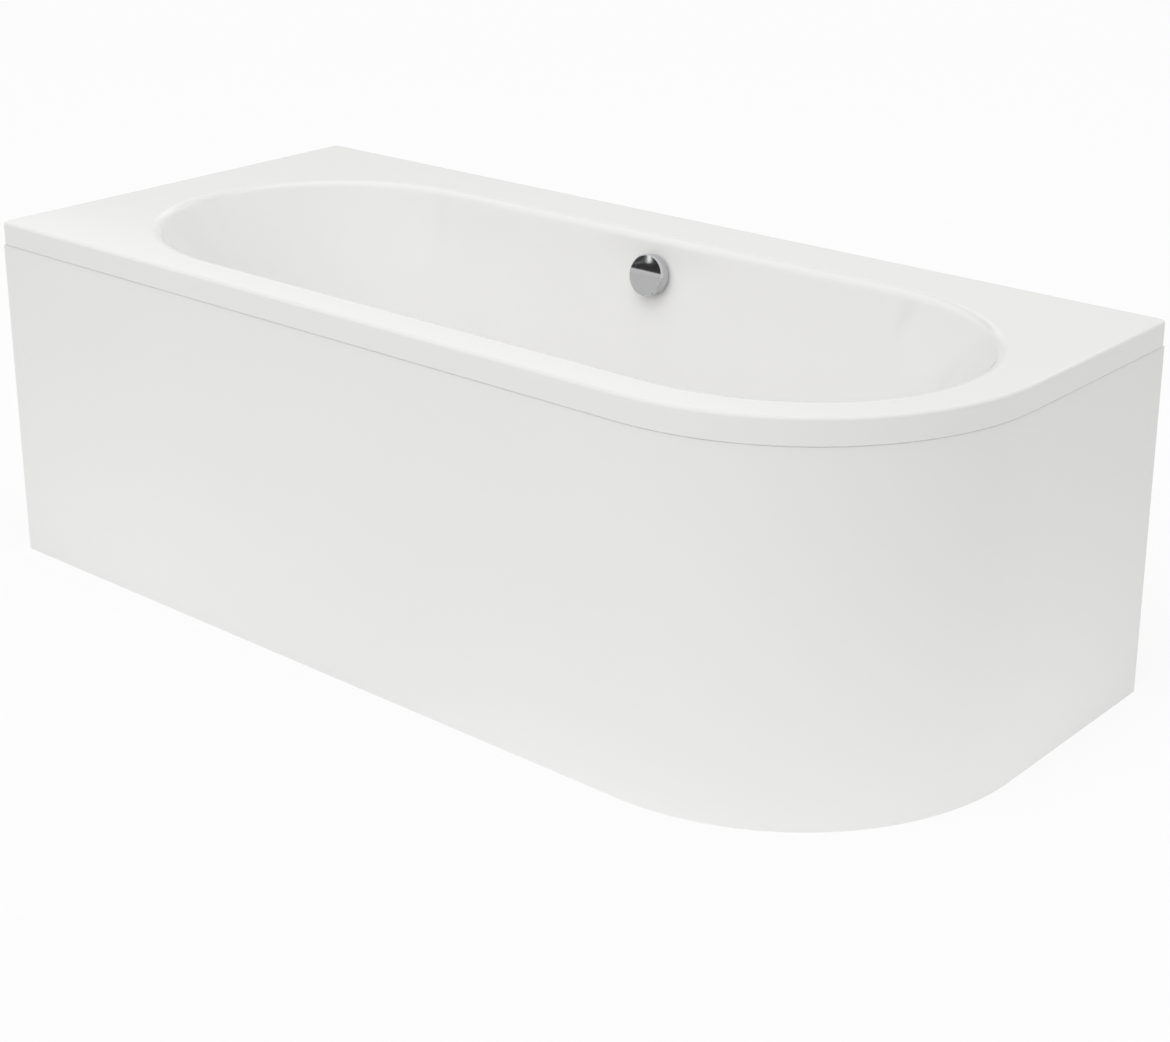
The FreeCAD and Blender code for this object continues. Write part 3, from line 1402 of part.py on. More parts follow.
def all_parts():
    """Return every piece of the bath by its name."""
    parts = {
        "bath_shell": bath_shell(),
        "bath_panel": bath_panel(),
        "baseboard": baseboard(),
        "rim_batten_front": rim_batten_front(),
        "rim_batten_right": rim_batten_right(),
        "rim_batten_back": rim_batten_back(),
        "rim_batten_left": rim_batten_left(),
        "leg_screws": leg_screws(),
        "foot_lock_nuts": foot_lock_nuts(),
        "centre_foot_bracket": centre_foot_bracket(),
        "centre_foot_screws": centre_foot_screws(),
        "panel_clips": panel_clips(),
        "panel_clip_screws": panel_clip_screws(),
        "wall_bracket_back_left": back_bracket(back_bracket_places()[0]),
        "wall_bracket_back_right": back_bracket(back_bracket_places()[1]),
        "wall_bracket_end": end_bracket(),
        "wall_bracket_screws": wall_bracket_screws(),
        "overflow_knob": overflow_knob(),
        "overflow_spindle": overflow_spindle(),
        "overflow_face": overflow_face(),
        "overflow_seal": overflow_seal(),
        "overflow_elbow": overflow_elbow(),
        "overflow_hose": overflow_hose(),
        "hose_nut_upper": hose_nut(False),
        "hose_nut_lower": hose_nut(True),
        "pull_cable": pull_cable(),
        "waste_flange": waste_flange(),
        "flange_seal": flange_seal(),
        "body_seal": body_seal(),
        "waste_body": waste_body(),
        "waste_plug": waste_plug(),
        "plug_stem": plug_stem(),
        "plug_seal": plug_seal(),
        "lifting_lever": lifting_lever(),
        "lever_pin": lever_pin(),
        "trap_bend": trap_bend(),
        "trap_washer": trap_washer(),
        "trap_union_nut": trap_union_nut(),
        "outlet_seal": outlet_seal(),
        "outlet_nut": outlet_nut(),
    }
    corner_stud = foot_stud(BOARD_BASE + NUT_HEIGHT + STUD_STAND_OUT)
    pad = foot_pad()
    for x, end in zip(leg_places(), ("left", "right")):
        parts["leg_channel_" + end] = leg_channel(x)
        for y, side in zip(foot_rows(), ("front", "back")):
            name = side + "_" + end
            parts["foot_stud_" + name] = placed(corner_stud, x, y, 0)
            parts["foot_pad_" + name] = placed(pad, x, y, 0)
    x, y = centre_foot_place()
    parts["foot_stud_centre"] = placed(foot_stud(BOARD_BASE - CENTRE_STUD_SINK), x, y, 0)
    parts["foot_pad_centre"] = placed(pad, x, y, 0)
    return parts


def main():
    """Write each piece to its own file."""
    os.makedirs("parts", exist_ok=True)
    for name, shape in all_parts().items():
        shape.exportStep(os.path.join("parts", name + ".step"))


main()
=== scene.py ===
"""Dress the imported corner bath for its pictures.

The shell and the panel are remade as smooth meshes from their real sizes, the chrome pieces and
the feet's studs are turned, the hose and the cable follow their routes, and every other solid
keeps its mesh and gets a finish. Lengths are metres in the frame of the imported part.
"""

import json
import logging
import math
from dataclasses import dataclass
from enum import Enum
from functools import partial
from typing import Any, Callable, Iterable, Mapping, Optional, Sequence, Union

import bmesh
import bpy
from mathutils import Matrix, Vector


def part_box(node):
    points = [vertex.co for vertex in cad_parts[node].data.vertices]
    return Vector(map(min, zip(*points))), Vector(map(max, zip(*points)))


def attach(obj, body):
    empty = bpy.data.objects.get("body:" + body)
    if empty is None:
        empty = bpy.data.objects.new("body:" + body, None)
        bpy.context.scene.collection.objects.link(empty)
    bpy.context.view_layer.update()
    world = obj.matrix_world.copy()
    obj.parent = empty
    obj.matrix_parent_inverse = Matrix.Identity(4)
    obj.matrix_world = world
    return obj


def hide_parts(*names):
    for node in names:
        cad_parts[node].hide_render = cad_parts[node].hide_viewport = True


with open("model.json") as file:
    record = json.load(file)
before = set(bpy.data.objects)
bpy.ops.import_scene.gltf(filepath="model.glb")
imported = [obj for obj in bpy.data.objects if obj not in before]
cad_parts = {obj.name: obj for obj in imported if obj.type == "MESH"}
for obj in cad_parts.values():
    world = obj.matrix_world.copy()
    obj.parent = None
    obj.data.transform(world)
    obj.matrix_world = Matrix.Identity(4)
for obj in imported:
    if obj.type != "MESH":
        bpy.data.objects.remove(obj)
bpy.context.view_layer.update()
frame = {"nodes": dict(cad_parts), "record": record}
LOG = logging.getLogger("bath")

Row = list[bmesh.types.BMVert]
Colour = tuple[float, float, float]
Point = tuple[float, float, float]
Profile = Sequence[tuple[float, float]]
Shift = Callable[[float], float]
Value = Union["Signal", float]

QUARTER_TURN = 0.5 * math.pi
FULL_TURN = 2 * math.pi
ACROSS = Vector((1.0, 0.0, 0.0))
ALONG = Vector((0.0, 1.0, 0.0))
EVEN: Point = (1.0, 1.0, 1.0)
WHITE: Colour = (1.0, 1.0, 1.0)


class Slot(Enum):
    """The record's finishes."""

    BATH_ACRYLIC = "bath_acrylic"
    PANEL_ACRYLIC = "panel_acrylic"
    CHIPBOARD = "chipboard"
    RIM_TIMBER = "rim_timber"
    GALVANISED_STEEL = "galvanised_steel"
    SPRING_STEEL = "spring_steel"
    ZINC_FASTENER = "zinc_fastener"
    FOOT_PLASTIC = "foot_plastic"
    CHROME = "chrome"
    BRASS = "brass"
    DARK_PLASTIC = "dark_plastic"
    WHITE_PLASTIC = "white_plastic"
    HOSE_PLASTIC = "hose_plastic"
    SEAL_RUBBER = "seal_rubber"
    CABLE_SHEATH = "cable_sheath"


class Body(Enum):
    """The bodies that the remade pieces ride on, apart from the feet's."""

    ROOT = "root"
    HANDLE = "overflow_handle"
    PLUG = "plug"


class Signal:
    """One output of a shader graph that takes part in Python sums."""

    def __init__(self, graph: "Graph", socket: bpy.types.NodeSocket) -> None:
        """Hold a socket and the graph that it belongs to."""
        self.graph = graph
        self.socket = socket

    def __add__(self, other: Value) -> "Signal":
        """Return this plus another value."""
        return self.graph.maths("ADD", self, other)

    def __radd__(self, other: Value) -> "Signal":
        """Return another value plus this."""
        return self.graph.maths("ADD", other, self)

    def __sub__(self, other: Value) -> "Signal":
        """Return this less another value."""
        return self.graph.maths("SUBTRACT", self, other)

    def __rsub__(self, other: Value) -> "Signal":
        """Return another value less this."""
        return self.graph.maths("SUBTRACT", other, self)

    def __mul__(self, other: Value) -> "Signal":
        """Return this times another value."""
        return self.graph.maths("MULTIPLY", self, other)

    def __rmul__(self, other: Value) -> "Signal":
        """Return another value times this."""
        return self.graph.maths("MULTIPLY", other, self)


class Graph:
    """A node tree that finishes and the studio are written on."""

    def __init__(self, tree: bpy.types.NodeTree) -> None:
        """Start from an empty tree."""
        tree.nodes.clear()
        self.tree = tree

    def node(
        self,
        kind: str,
        settings: Optional[Mapping[str, Any]] = None,
        inputs: Optional[Mapping[Union[str, int], Any]] = None,
        output: Union[str, int] = 0,
    ) -> Signal:
        """Add one node.

        Args:
            kind: The node's type.
            settings: Attributes that are set first; "stops" are a ramp's places and colours.
            inputs: A value or a signal for each named or numbered socket.
            output: The socket that is wanted.

        Returns:
            That output.
        """
        made = self.tree.nodes.new(kind)
        for name, value in (settings or {}).items():
            if name == "stops":
                self._set_stops(made.color_ramp, value)
            else:
                setattr(made, name, value)
        for key, value in (inputs or {}).items():
            socket = made.inputs[key]
            if isinstance(value, Signal):
                self.tree.links.new(value.socket, socket)
            elif socket.type == "RGBA":
                socket.default_value = (*value, 1.0)
            else:
                socket.default_value = value
        return Signal(self, made.outputs[output] if made.outputs else None)

    @staticmethod
    def _set_stops(ramp: bpy.types.ColorRamp, stops: Sequence[tuple[float, Colour]]) -> None:
        """Give a ramp its places and colours.

        Args:
            ramp: The ramp of a new node.
            stops: Two or more places between 0 and 1, each with its colour.
        """
        while len(ramp.elements) < len(stops):
            ramp.elements.new(1.0)
        for element, (place, colour) in zip(ramp.elements, stops):
            element.position = place
            element.color = (*colour, 1.0)

    def maths(self, operation: str, first: Value, second: Value) -> Signal:
        """Return the result of a sum on two values."""
        return self.node("ShaderNodeMath", {"operation": operation}, {0: first, 1: second})

    def positive(self, value: Signal) -> Signal:
        """Return a value, or 0 where it is less."""
        return self.maths("MAXIMUM", 0.0, value)

    def up_to_one(self, value: Signal) -> Signal:
        """Return a value, or 1 where it is more."""
        return self.maths("MINIMUM", 1.0, value)

    def axis(self, where: Signal, name: str) -> Signal:
        """Return one of a place's or a direction's three numbers."""
        return self.node("ShaderNodeSeparateXYZ", None, {0: where}, name)

    def place(self, stretch: Point = EVEN, turn: Point = (0.0, 0.0, 0.0)) -> Signal:
        """Return places on the object in metres, turned and then stretched.

        Args:
            stretch: What each direction is multiplied by.
            turn: The angles about the three axes.

        Returns:
            The places.
        """
        where = self.node("ShaderNodeTexCoord", output="Object")
        turned = self.node("ShaderNodeMapping", None, {"Vector": where, "Rotation": turn})
        return self.node("ShaderNodeMapping", None, {"Vector": turned, "Scale": stretch})

    def noise(self, where: Signal, scale: float, detail: float = 2.0, warp: float = 0.0) -> Signal:
        """Return soft random values between 0 and 1 over some places."""
        wanted = {"Vector": where, "Scale": scale, "Detail": detail, "Distortion": warp}
        return self.node("ShaderNodeTexNoise", None, wanted)

    def cells(self, where: Signal, scale: float) -> Signal:
        """Return one random value between 0 and 1 for each cell of a crystal-like pattern."""
        tint = self.node("ShaderNodeTexVoronoi", None, {"Vector": where, "Scale": scale}, "Color")
        return self.node("ShaderNodeSeparateColor", None, {0: tint})

    def ramp(self, value: Signal, *stops: tuple[float, Colour]) -> Signal:
        """Return the colour that a value takes along some stops."""
        return self.node("ShaderNodeValToRGB", {"stops": stops}, {"Fac": value})

    def blend(self, share: Value, first: Any, second: Any) -> Signal:
        """Return a colour between two others."""
        settings = {"data_type": "RGBA", "clamp_factor": True}
        return self.node("ShaderNodeMix", settings, {0: share, 6: first, 7: second}, 2)

    def bump(self, height: Signal, depth: float, strength: float) -> Signal:
        """Return normals that follow a height of some depth in metres."""
        wanted = {"Height": height, "Distance": depth, "Strength": strength}
        return self.node("ShaderNodeBump", None, wanted)

    def surface(self, **sockets: Any) -> Signal:
        """Return a shaded surface; an underscore in a name stands for a space."""
        inputs = {name.replace("_", " "): value for name, value in sockets.items()}
        return self.node("ShaderNodeBsdfPrincipled", None, inputs)

    def mix(self, share: Value, first: Signal, second: Signal) -> Signal:
        """Return a surface or a light between two others."""
        return self.node("ShaderNodeMixShader", None, {0: share, 1: first, 2: second})


def new_material(name: str, shade: Callable[[Graph], Signal]) -> bpy.types.Material:
    """Make a material.

    Args:
        name: Its name.
        shade: What writes its surface on an empty graph.

    Returns:
        The material.
    """
    made = bpy.data.materials.new(name)
    made.use_nodes = True
    graph = Graph(made.node_tree)
    graph.node("ShaderNodeOutputMaterial", None, {"Surface": shade(graph)})
    return made


@dataclass(frozen=True)
class Finish:
    """What a surface is made of."""

    name: str

    def material(self) -> bpy.types.Material:
        """Return the finish as a new material."""
        return new_material(self.name, self.shade)

    def shade(self, graph: Graph) -> Signal:
        """Return the finish's surface; each kind of finish has its own."""
        raise NotImplementedError


@dataclass(frozen=True)
class GlossAcrylic(Finish):
    """Cast acrylic sheet: clear gloss, with the faint unevenness of a drawn sheet."""

    colour: Colour = (0.90, 0.898, 0.89)
    drawn: Colour = (0.888, 0.885, 0.876)
    roughness: float = 0.09
    film_roughness: float = 0.035
    refraction: float = 1.49
    tint_scale: float = 2.6
    film_scale: float = 46.0
    ripple_scale: float = 17.0
    ripple_depth: float = 0.0006
    ripple_strength: float = 0.12

    def shade(self, graph: Graph) -> Signal:
        """Write a gloss surface with a slow change of tint and a slight ripple.

        Args:
            graph: The material's nodes.

        Returns:
            The surface.
        """
        where = graph.place()
        tint = graph.noise(where, self.tint_scale, detail=1.0)
        film = graph.noise(where, self.film_scale, detail=3.0)
        ripple = graph.noise(where, self.ripple_scale, detail=1.0)
        return graph.surface(
            Base_Color=graph.blend(tint, self.colour, self.drawn),
            Roughness=self.roughness + self.film_roughness * film,
            IOR=self.refraction,
            Normal=graph.bump(ripple, self.ripple_depth, self.ripple_strength),
        )


@dataclass(frozen=True)
class GlassBacking(Finish):
    """Resin with chopped glass strands, sprayed on the back of the shell."""

    resin: Colour = (0.70, 0.66, 0.55)
    strand: Colour = (0.84, 0.81, 0.72)
    strand_stretch: Point = (18.0, 380.0, 380.0)
    strand_turns: tuple[Point, ...] = (
        (0.0, 0.25, 0.1),
        (0.0, 0.95, -0.2),
        (0.0, 1.7, 0.3),
        (0.0, 2.5, -0.1),
        (0.0, 0.2, 0.8),
        (0.0, -0.2, 2.2),
    )
    strand_floor: float = 0.62
    strand_gain: float = 7.0
    lump_scale: float = 28.0
    lump_tint: float = 0.35
    lump_share: float = 0.6
    roughness: float = 0.34
    lump_roughness: float = 0.2
    relief_depth: float = 0.0012
    relief_strength: float = 0.5

    def shade(self, graph: Graph) -> Signal:
        """Write a satin surface with crossing strands.

        Args:
            graph: The material's nodes.

        Returns:
            The surface.
        """
        strands: Value = 0.0
        for turn in self.strand_turns:
            line = graph.noise(graph.place(self.strand_stretch, turn), scale=1.0, detail=0.0)
            strands = graph.maths("MAXIMUM", strands, line)
        mask = graph.up_to_one(graph.positive(self.strand_gain * (strands - self.strand_floor)))
        lumps = graph.noise(graph.place(), self.lump_scale, detail=3.0)
        colour = graph.blend(mask, self.resin, self.strand)
        relief = self.lump_share * lumps + (1 - self.lump_share) * mask
        return graph.surface(
            Base_Color=graph.blend(self.lump_tint * lumps, colour, self.resin),
            Roughness=self.roughness + self.lump_roughness * lumps,
            Normal=graph.bump(relief, self.relief_depth, self.relief_strength),
        )


@dataclass(frozen=True)
class FlakeBoard(Finish):
    """Pressed board of wood flakes under a coat of resin."""

    dark: Colour = (0.34, 0.22, 0.11)
    middle: Colour = (0.58, 0.43, 0.25)
    pale: Colour = (0.74, 0.60, 0.40)
    tone_places: Point = (0.12, 0.5, 0.88)
    flake_scale: float = 230.0
    flake_stretch: Point = (1.0, 1.0, 1.6)
    flake_share: float = 0.6
    chip_scale: float = 640.0
    chip_stretch: Point = (0.7, 1.3, 1.0)
    chip_turn: Point = (0.3, 0.6, 0.9)
    chip_share: float = 0.3
    dust_scale: float = 1700.0
    dust_share: float = 0.1
    roughness: float = 0.52
    dust_roughness: float = 0.3
    relief_depth: float = 0.0004
    relief_strength: float = 0.5

    def shade(self, graph: Graph) -> Signal:
        """Write flakes of mixed tones that lie at all angles.

        Args:
            graph: The material's nodes.

        Returns:
            The surface.
        """
        bent = graph.place(self.flake_stretch)
        flakes = graph.cells(bent, self.flake_scale)
        chips = graph.cells(graph.place(self.chip_stretch, self.chip_turn), self.chip_scale)
        dust = graph.noise(bent, self.dust_scale)
        tone = self.flake_share * flakes + self.chip_share * chips + self.dust_share * dust
        stops = zip(self.tone_places, (self.dark, self.middle, self.pale))
        return graph.surface(
            Base_Color=graph.ramp(tone, *stops),
            Roughness=self.roughness + self.dust_roughness * dust,
            Normal=graph.bump(tone, self.relief_depth, self.relief_strength),
        )


@dataclass(frozen=True)
class SpangledSteel(Finish):
    """Sheet steel dipped in zinc, with its flower-like crystals."""

    dull: Colour = (0.46, 0.48, 0.50)
    bright: Colour = (0.68, 0.70, 0.72)
    crystal_scale: float = 70.0
    crystal_share: float = 0.7
    frost_scale: float = 420.0
    frost_share: float = 0.3
    roughness: float = 0.26
    crystal_roughness: float = 0.2
    frost_roughness: float = 0.1
    frost_depth: float = 0.0002
    frost_strength: float = 0.2

    def shade(self, graph: Graph) -> Signal:
        """Write crystals that differ in tone and gloss.

        Args:
            graph: The material's nodes.

        Returns:
            The surface.
        """
        where = graph.place()
        crystals = graph.cells(where, self.crystal_scale)
        frost = graph.noise(where, self.frost_scale, detail=3.0)
        tone = self.crystal_share * crystals + self.frost_share * frost
        dullness = self.roughness + self.crystal_roughness * crystals
        return graph.surface(
            Base_Color=graph.blend(tone, self.dull, self.bright),
            Metallic=1.0,
            Roughness=dullness + self.frost_roughness * frost,
            Normal=graph.bump(frost, self.frost_depth, self.frost_strength),
        )


@dataclass(frozen=True)
class PlatedMetal(Finish):
    """A thin bright plating, or a turned metal, with faint marks from its making."""

    colour: Colour
    shadow: Colour
    roughness: float
    mark_scale: float = 260.0
    mark_stretch: Point = (1.0, 1.0, 9.0)
    mark_tint: float = 0.4
    mark_gloss: float = 0.2
    cloud_scale: float = 60.0
    cloud_tint: float = 0.6
    cloud_gloss: float = 0.4
    least_gloss: float = 0.7

    def shade(self, graph: Graph) -> Signal:
        """Write metal with a slight change of tint and gloss.

        Args:
            graph: The material's nodes.

        Returns:
            The surface.
        """
        cloud = graph.noise(graph.place(), self.cloud_scale, detail=3.0)
        marks = graph.noise(graph.place(self.mark_stretch), self.mark_scale)
        tint = self.cloud_tint * cloud + self.mark_tint * marks
        gloss = self.least_gloss + self.cloud_gloss * cloud + self.mark_gloss * marks
        return graph.surface(
            Base_Color=graph.blend(tint, self.colour, self.shadow),
            Metallic=1.0,
            Roughness=self.roughness * gloss,
        )


@dataclass(frozen=True)
class MouldedPlastic(Finish):
    """Injection-moulded plastic with a fine grain."""

    colour: Colour
    shadow: Colour
    roughness: float = 0.42
    grain_depth: float = 0.00015
    grain_scale: float = 1500.0
    grain_strength: float = 0.4
    grain_roughness: float = 0.06
    flow_scale: float = 34.0
    flow_warp: float = 0.6
    flow_roughness: float = 0.12

    def shade(self, graph: Graph) -> Signal:
        """Write satin plastic with slow flow marks and a fine grain.

        Args:
            graph: The material's nodes.

        Returns:
            The surface.
        """
        where = graph.place()
        flow = graph.noise(where, self.flow_scale, warp=self.flow_warp)
        grain = graph.noise(where, self.grain_scale)
        dullness = self.roughness + self.flow_roughness * flow
        return graph.surface(
            Base_Color=graph.blend(flow, self.colour, self.shadow),
            Roughness=dullness + self.grain_roughness * grain,
            Normal=graph.bump(grain, self.grain_depth, self.grain_strength),
        )


FINISHES: dict[Slot, Finish] = {
    Slot.BATH_ACRYLIC: GlossAcrylic("white_bath_acrylic"),
    Slot.PANEL_ACRYLIC: GlossAcrylic("white_panel_acrylic"),
    Slot.CHIPBOARD: FlakeBoard("flake_board"),
    Slot.RIM_TIMBER: FlakeBoard("flake_strip", pale=(0.78, 0.65, 0.45)),
    Slot.GALVANISED_STEEL: SpangledSteel("galvanised_sheet"),
    Slot.SPRING_STEEL: PlatedMetal(
        "plated_spring_steel", (0.60, 0.60, 0.60), (0.47, 0.46, 0.44), 0.32,
    ),
    Slot.ZINC_FASTENER: PlatedMetal(
        "bright_zinc", (0.70, 0.71, 0.73), (0.60, 0.58, 0.52), 0.28,
    ),
    Slot.FOOT_PLASTIC: MouldedPlastic(
        "black_foot_plastic", (0.030, 0.030, 0.033), (0.05, 0.05, 0.052), 0.5,
    ),
    Slot.CHROME: PlatedMetal(
        "polished_chrome", (0.57, 0.575, 0.58), (0.54, 0.545, 0.555), 0.03,
    ),
    Slot.BRASS: PlatedMetal(
        "turned_brass", (0.72, 0.55, 0.27), (0.58, 0.41, 0.18), 0.26, mark_scale=900.0,
    ),
    Slot.DARK_PLASTIC: MouldedPlastic(
        "black_polypropylene", (0.055, 0.055, 0.06), (0.08, 0.08, 0.085),
    ),
    Slot.WHITE_PLASTIC: MouldedPlastic(
        "white_polypropylene", (0.80, 0.80, 0.785), (0.74, 0.74, 0.72), 0.36,
    ),
    Slot.HOSE_PLASTIC: MouldedPlastic(
        "grey_polythene", (0.60, 0.61, 0.62), (0.50, 0.51, 0.53), 0.38,
    ),
    Slot.SEAL_RUBBER: MouldedPlastic(
        "black_rubber", (0.022, 0.022, 0.022), (0.04, 0.04, 0.038), 0.7, grain_depth=0.0003,
    ),
    Slot.CABLE_SHEATH: MouldedPlastic(
        "black_cable_sheath", (0.026, 0.026, 0.029), (0.045, 0.045, 0.047),
    ),
}


class Paint:
    """The materials, each made once."""

    def __init__(self) -> None:
        """Make one material for each of the record's finishes."""
        self.of_slot = {slot: finish.material() for slot, finish in FINISHES.items()}
        self.backing = GlassBacking("glass_strand_backing").material()


class Form:
    """A mesh in the making: rows of points joined by bands of faces."""

    def __init__(self) -> None:
        """Start with no points."""
        self.mesh = bmesh.new()

    def row(self, points: Iterable[Vector]) -> Row:
        """Add a row of points."""
        return [self.mesh.verts.new(point) for point in points]

    def face(self, corners: Sequence[bmesh.types.BMVert], skin: int = 0) -> None:
        """Add one face.

        Args:
            corners: Its points in order.
            skin: Its material.
        """
        made = self.mesh.faces.new(corners)
        made.material_index = skin
        made.smooth = True

    def plate(self, width: float, height: float) -> None:
        """Add a flat rectangle about the origin.

        Args:
            width: Its size along the first axis.
            height: Its size along the second axis.
        """
        x, y = 0.5 * width, 0.5 * height
        corners = ((-x, -y), (x, -y), (x, y), (-x, y))
        self.face(self.row(Vector((*corner, 0.0)) for corner in corners))

    def band(
        self, first: Row, second: Row, skin: int = 0, skipped: Sequence[int] = ()
    ) -> None:
        """Join two rings; a row of one point gives a fan.

        Args:
            first: One ring.
            second: The other ring, as long as the first or one point.
            skin: The faces' material.
            skipped: Columns that stay open.
        """
        if len(first) == 1 and len(second) == 1:
            return
        count = max(len(first), len(second))
        for index in range(count):
            if index in skipped:
                continue
            following = (index + 1) % count
            corners = [first[index % len(first)], first[following % len(first)]]
            corners += [second[following % len(second)], second[index % len(second)]]
            self.face(list(dict.fromkeys(corners)), skin)

    def bands(self, rows: Sequence[Row], skin: int = 0) -> None:
        """Join each ring to the next."""
        for first, second in zip(rows, rows[1:]):
            self.band(first, second, skin)

    def fill(self, loops: Sequence[Row], skin: int = 0) -> None:
        """Fill a flat region.

        Args:
            loops: The region's outer edge, and then the edges of its holes.
            skin: The faces' material.
        """
        edges = []
        for loop in loops:
            for pair in zip(loop, loop[1:] + loop[:1]):
                edges.append(self.mesh.edges.get(pair) or self.mesh.edges.new(pair))
        made = bmesh.ops.triangle_fill(self.mesh, use_beauty=True, use_dissolve=False, edges=edges)
        for item in made["geom"]:
            if isinstance(item, bmesh.types.BMFace):
                item.material_index = skin
                item.smooth = True

    def turn(self, profile: Profile, place: Matrix, steps: int) -> None:
        """Turn a closed profile of radii and heights about its axis.

        Args:
            profile: Corners, each a radius and a height; a radius of 0 is a point on the axis.
            place: Where the axis goes.
            steps: Points in a full turn.
        """
        rows = []
        for radius, height in profile:
            around = steps if radius > 0 else 1
            angles = [FULL_TURN * step / around for step in range(around)]
            spots = [Vector((radius * math.cos(a), radius * math.sin(a), height)) for a in angles]
            rows.append(self.row(place @ spot for spot in spots))
        self.bands(rows + rows[:1])

    def piece(
        self,
        name: str,
        materials: Sequence[bpy.types.Material],
        crease: float = 34.0,
    ) -> bpy.types.Object:
        """Turn the mesh into an object.

        Args:
            name: The piece's name.
            materials: Its materials, in the order of the faces' skins.
            crease: Edges that turn by more degrees stay sharp.

        Returns:
            The linked object.
        """
        bmesh.ops.recalc_face_normals(self.mesh, faces=self.mesh.faces[:])
        data = bpy.data.meshes.new(name)
        self.mesh.to_mesh(data)
        self.mesh.free()
        for material in materials:
            data.materials.append(material)
        data.set_sharp_from_angle(angle=math.radians(crease))
        made = bpy.data.objects.new(name, data)
        bpy.context.scene.collection.objects.link(made)
        return made


def soften(piece: bpy.types.Object, width: float, segments: int, crease: float = 28.0) -> None:
    """Round a piece's sharp edges a little, so that they catch the light.

    Args:
        piece: The piece.
        width: How far the rounding reaches.
        segments: Faces across the rounding.
        crease: Edges that turn by more degrees are rounded.
    """
    made = piece.modifiers.new("soft_edges", "BEVEL")
    made.width = width
    made.segments = segments
    made.limit_method = "ANGLE"
    made.angle_limit = math.radians(crease)
    made.harden_normals = True


def hand_in(piece: bpy.types.Object, body: str, slot: Slot, node: str) -> None:
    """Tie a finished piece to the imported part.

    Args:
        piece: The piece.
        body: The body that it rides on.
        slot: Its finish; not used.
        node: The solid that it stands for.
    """
    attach(piece, body)
    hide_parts(node)
    LOG.info("%s rides on %s and stands for %s", piece.name, body, node)


def raised(points: Iterable[Vector], height: float) -> list[Vector]:
    """Return plan points at a height."""
    return [Vector((point.x, point.y, height)) for point in points]


def circle(
    centre: Vector, across: Vector, along: Vector, radius: float, steps: int = 64
) -> list[Vector]:
    """Return points round a circle that lies along two square directions."""
    angles = [FULL_TURN * step / steps for step in range(steps)]
    return [centre + radius * (math.cos(a) * across + math.sin(a) * along) for a in angles]


def rounding(radius: float, steps: int) -> list[tuple[float, float]]:
    """Return how far in and how far down a rounded top edge lies, from its face to its top."""
    angles = [QUARTER_TURN * step / steps for step in range(steps + 1)]
    return [(radius * (1 - math.cos(a)), radius * (1 - math.sin(a))) for a in angles]


@dataclass(frozen=True)
class RimPlan:
    """The bath's outline from above: three small corners and a large one at the front right."""

    left: float
    front: float
    right: float
    back: float
    sweep: float = 0.385
    corner: float = 0.012
    sweep_steps: int = 96
    corner_steps: int = 6

    def loop(self, inset: float) -> list[Vector]:
        """Go round the outline, anticlockwise from the front left corner.

        Args:
            inset: How far in the line lies.

        Returns:
            Plan points.
        """
        small, large = self.corner, self.sweep
        corners = (
            (self.left + small, self.front + small, small, 180.0, self.corner_steps),
            (self.right - large, self.front + large, large, 270.0, self.sweep_steps),
            (self.right - small, self.back - small, small, 0.0, self.corner_steps),
            (self.left + small, self.back - small, small, 90.0, self.corner_steps),
        )
        points = []
        for x, y, radius, start, steps in corners:
            for step in range(steps + 1):
                angle = math.radians(start + 90.0 * step / steps)
                outward = Vector((math.cos(angle), math.sin(angle), 0.0))
                points.append(Vector((x, y, 0.0)) + (radius - inset) * outward)
        return points

    def open_side(self, end_gap: float, plate: float) -> list[tuple[Vector, Vector]]:
        """Return the line of the front, the large corner and the right end.

        Args:
            end_gap: How far the line stops short of the walls.
            plate: How far from each end a second point lies.

        Returns:
            Places on the outline, each with its way in.
        """
        start, end = self.left + end_gap, self.back - end_gap
        line = [(Vector((start + step, self.front, 0.0)), ALONG) for step in (0.0, plate)]
        centre = Vector((self.right - self.sweep, self.front + self.sweep, 0.0))
        for step in range(self.sweep_steps + 1):
            angle = math.radians(270.0 + 90.0 * step / self.sweep_steps)
            outward = Vector((math.cos(angle), math.sin(angle), 0.0))
            line.append((centre + self.sweep * outward, -outward))
        line += [(Vector((self.right, end - step, 0.0)), -ACROSS) for step in (plate, 0.0)]
        return line


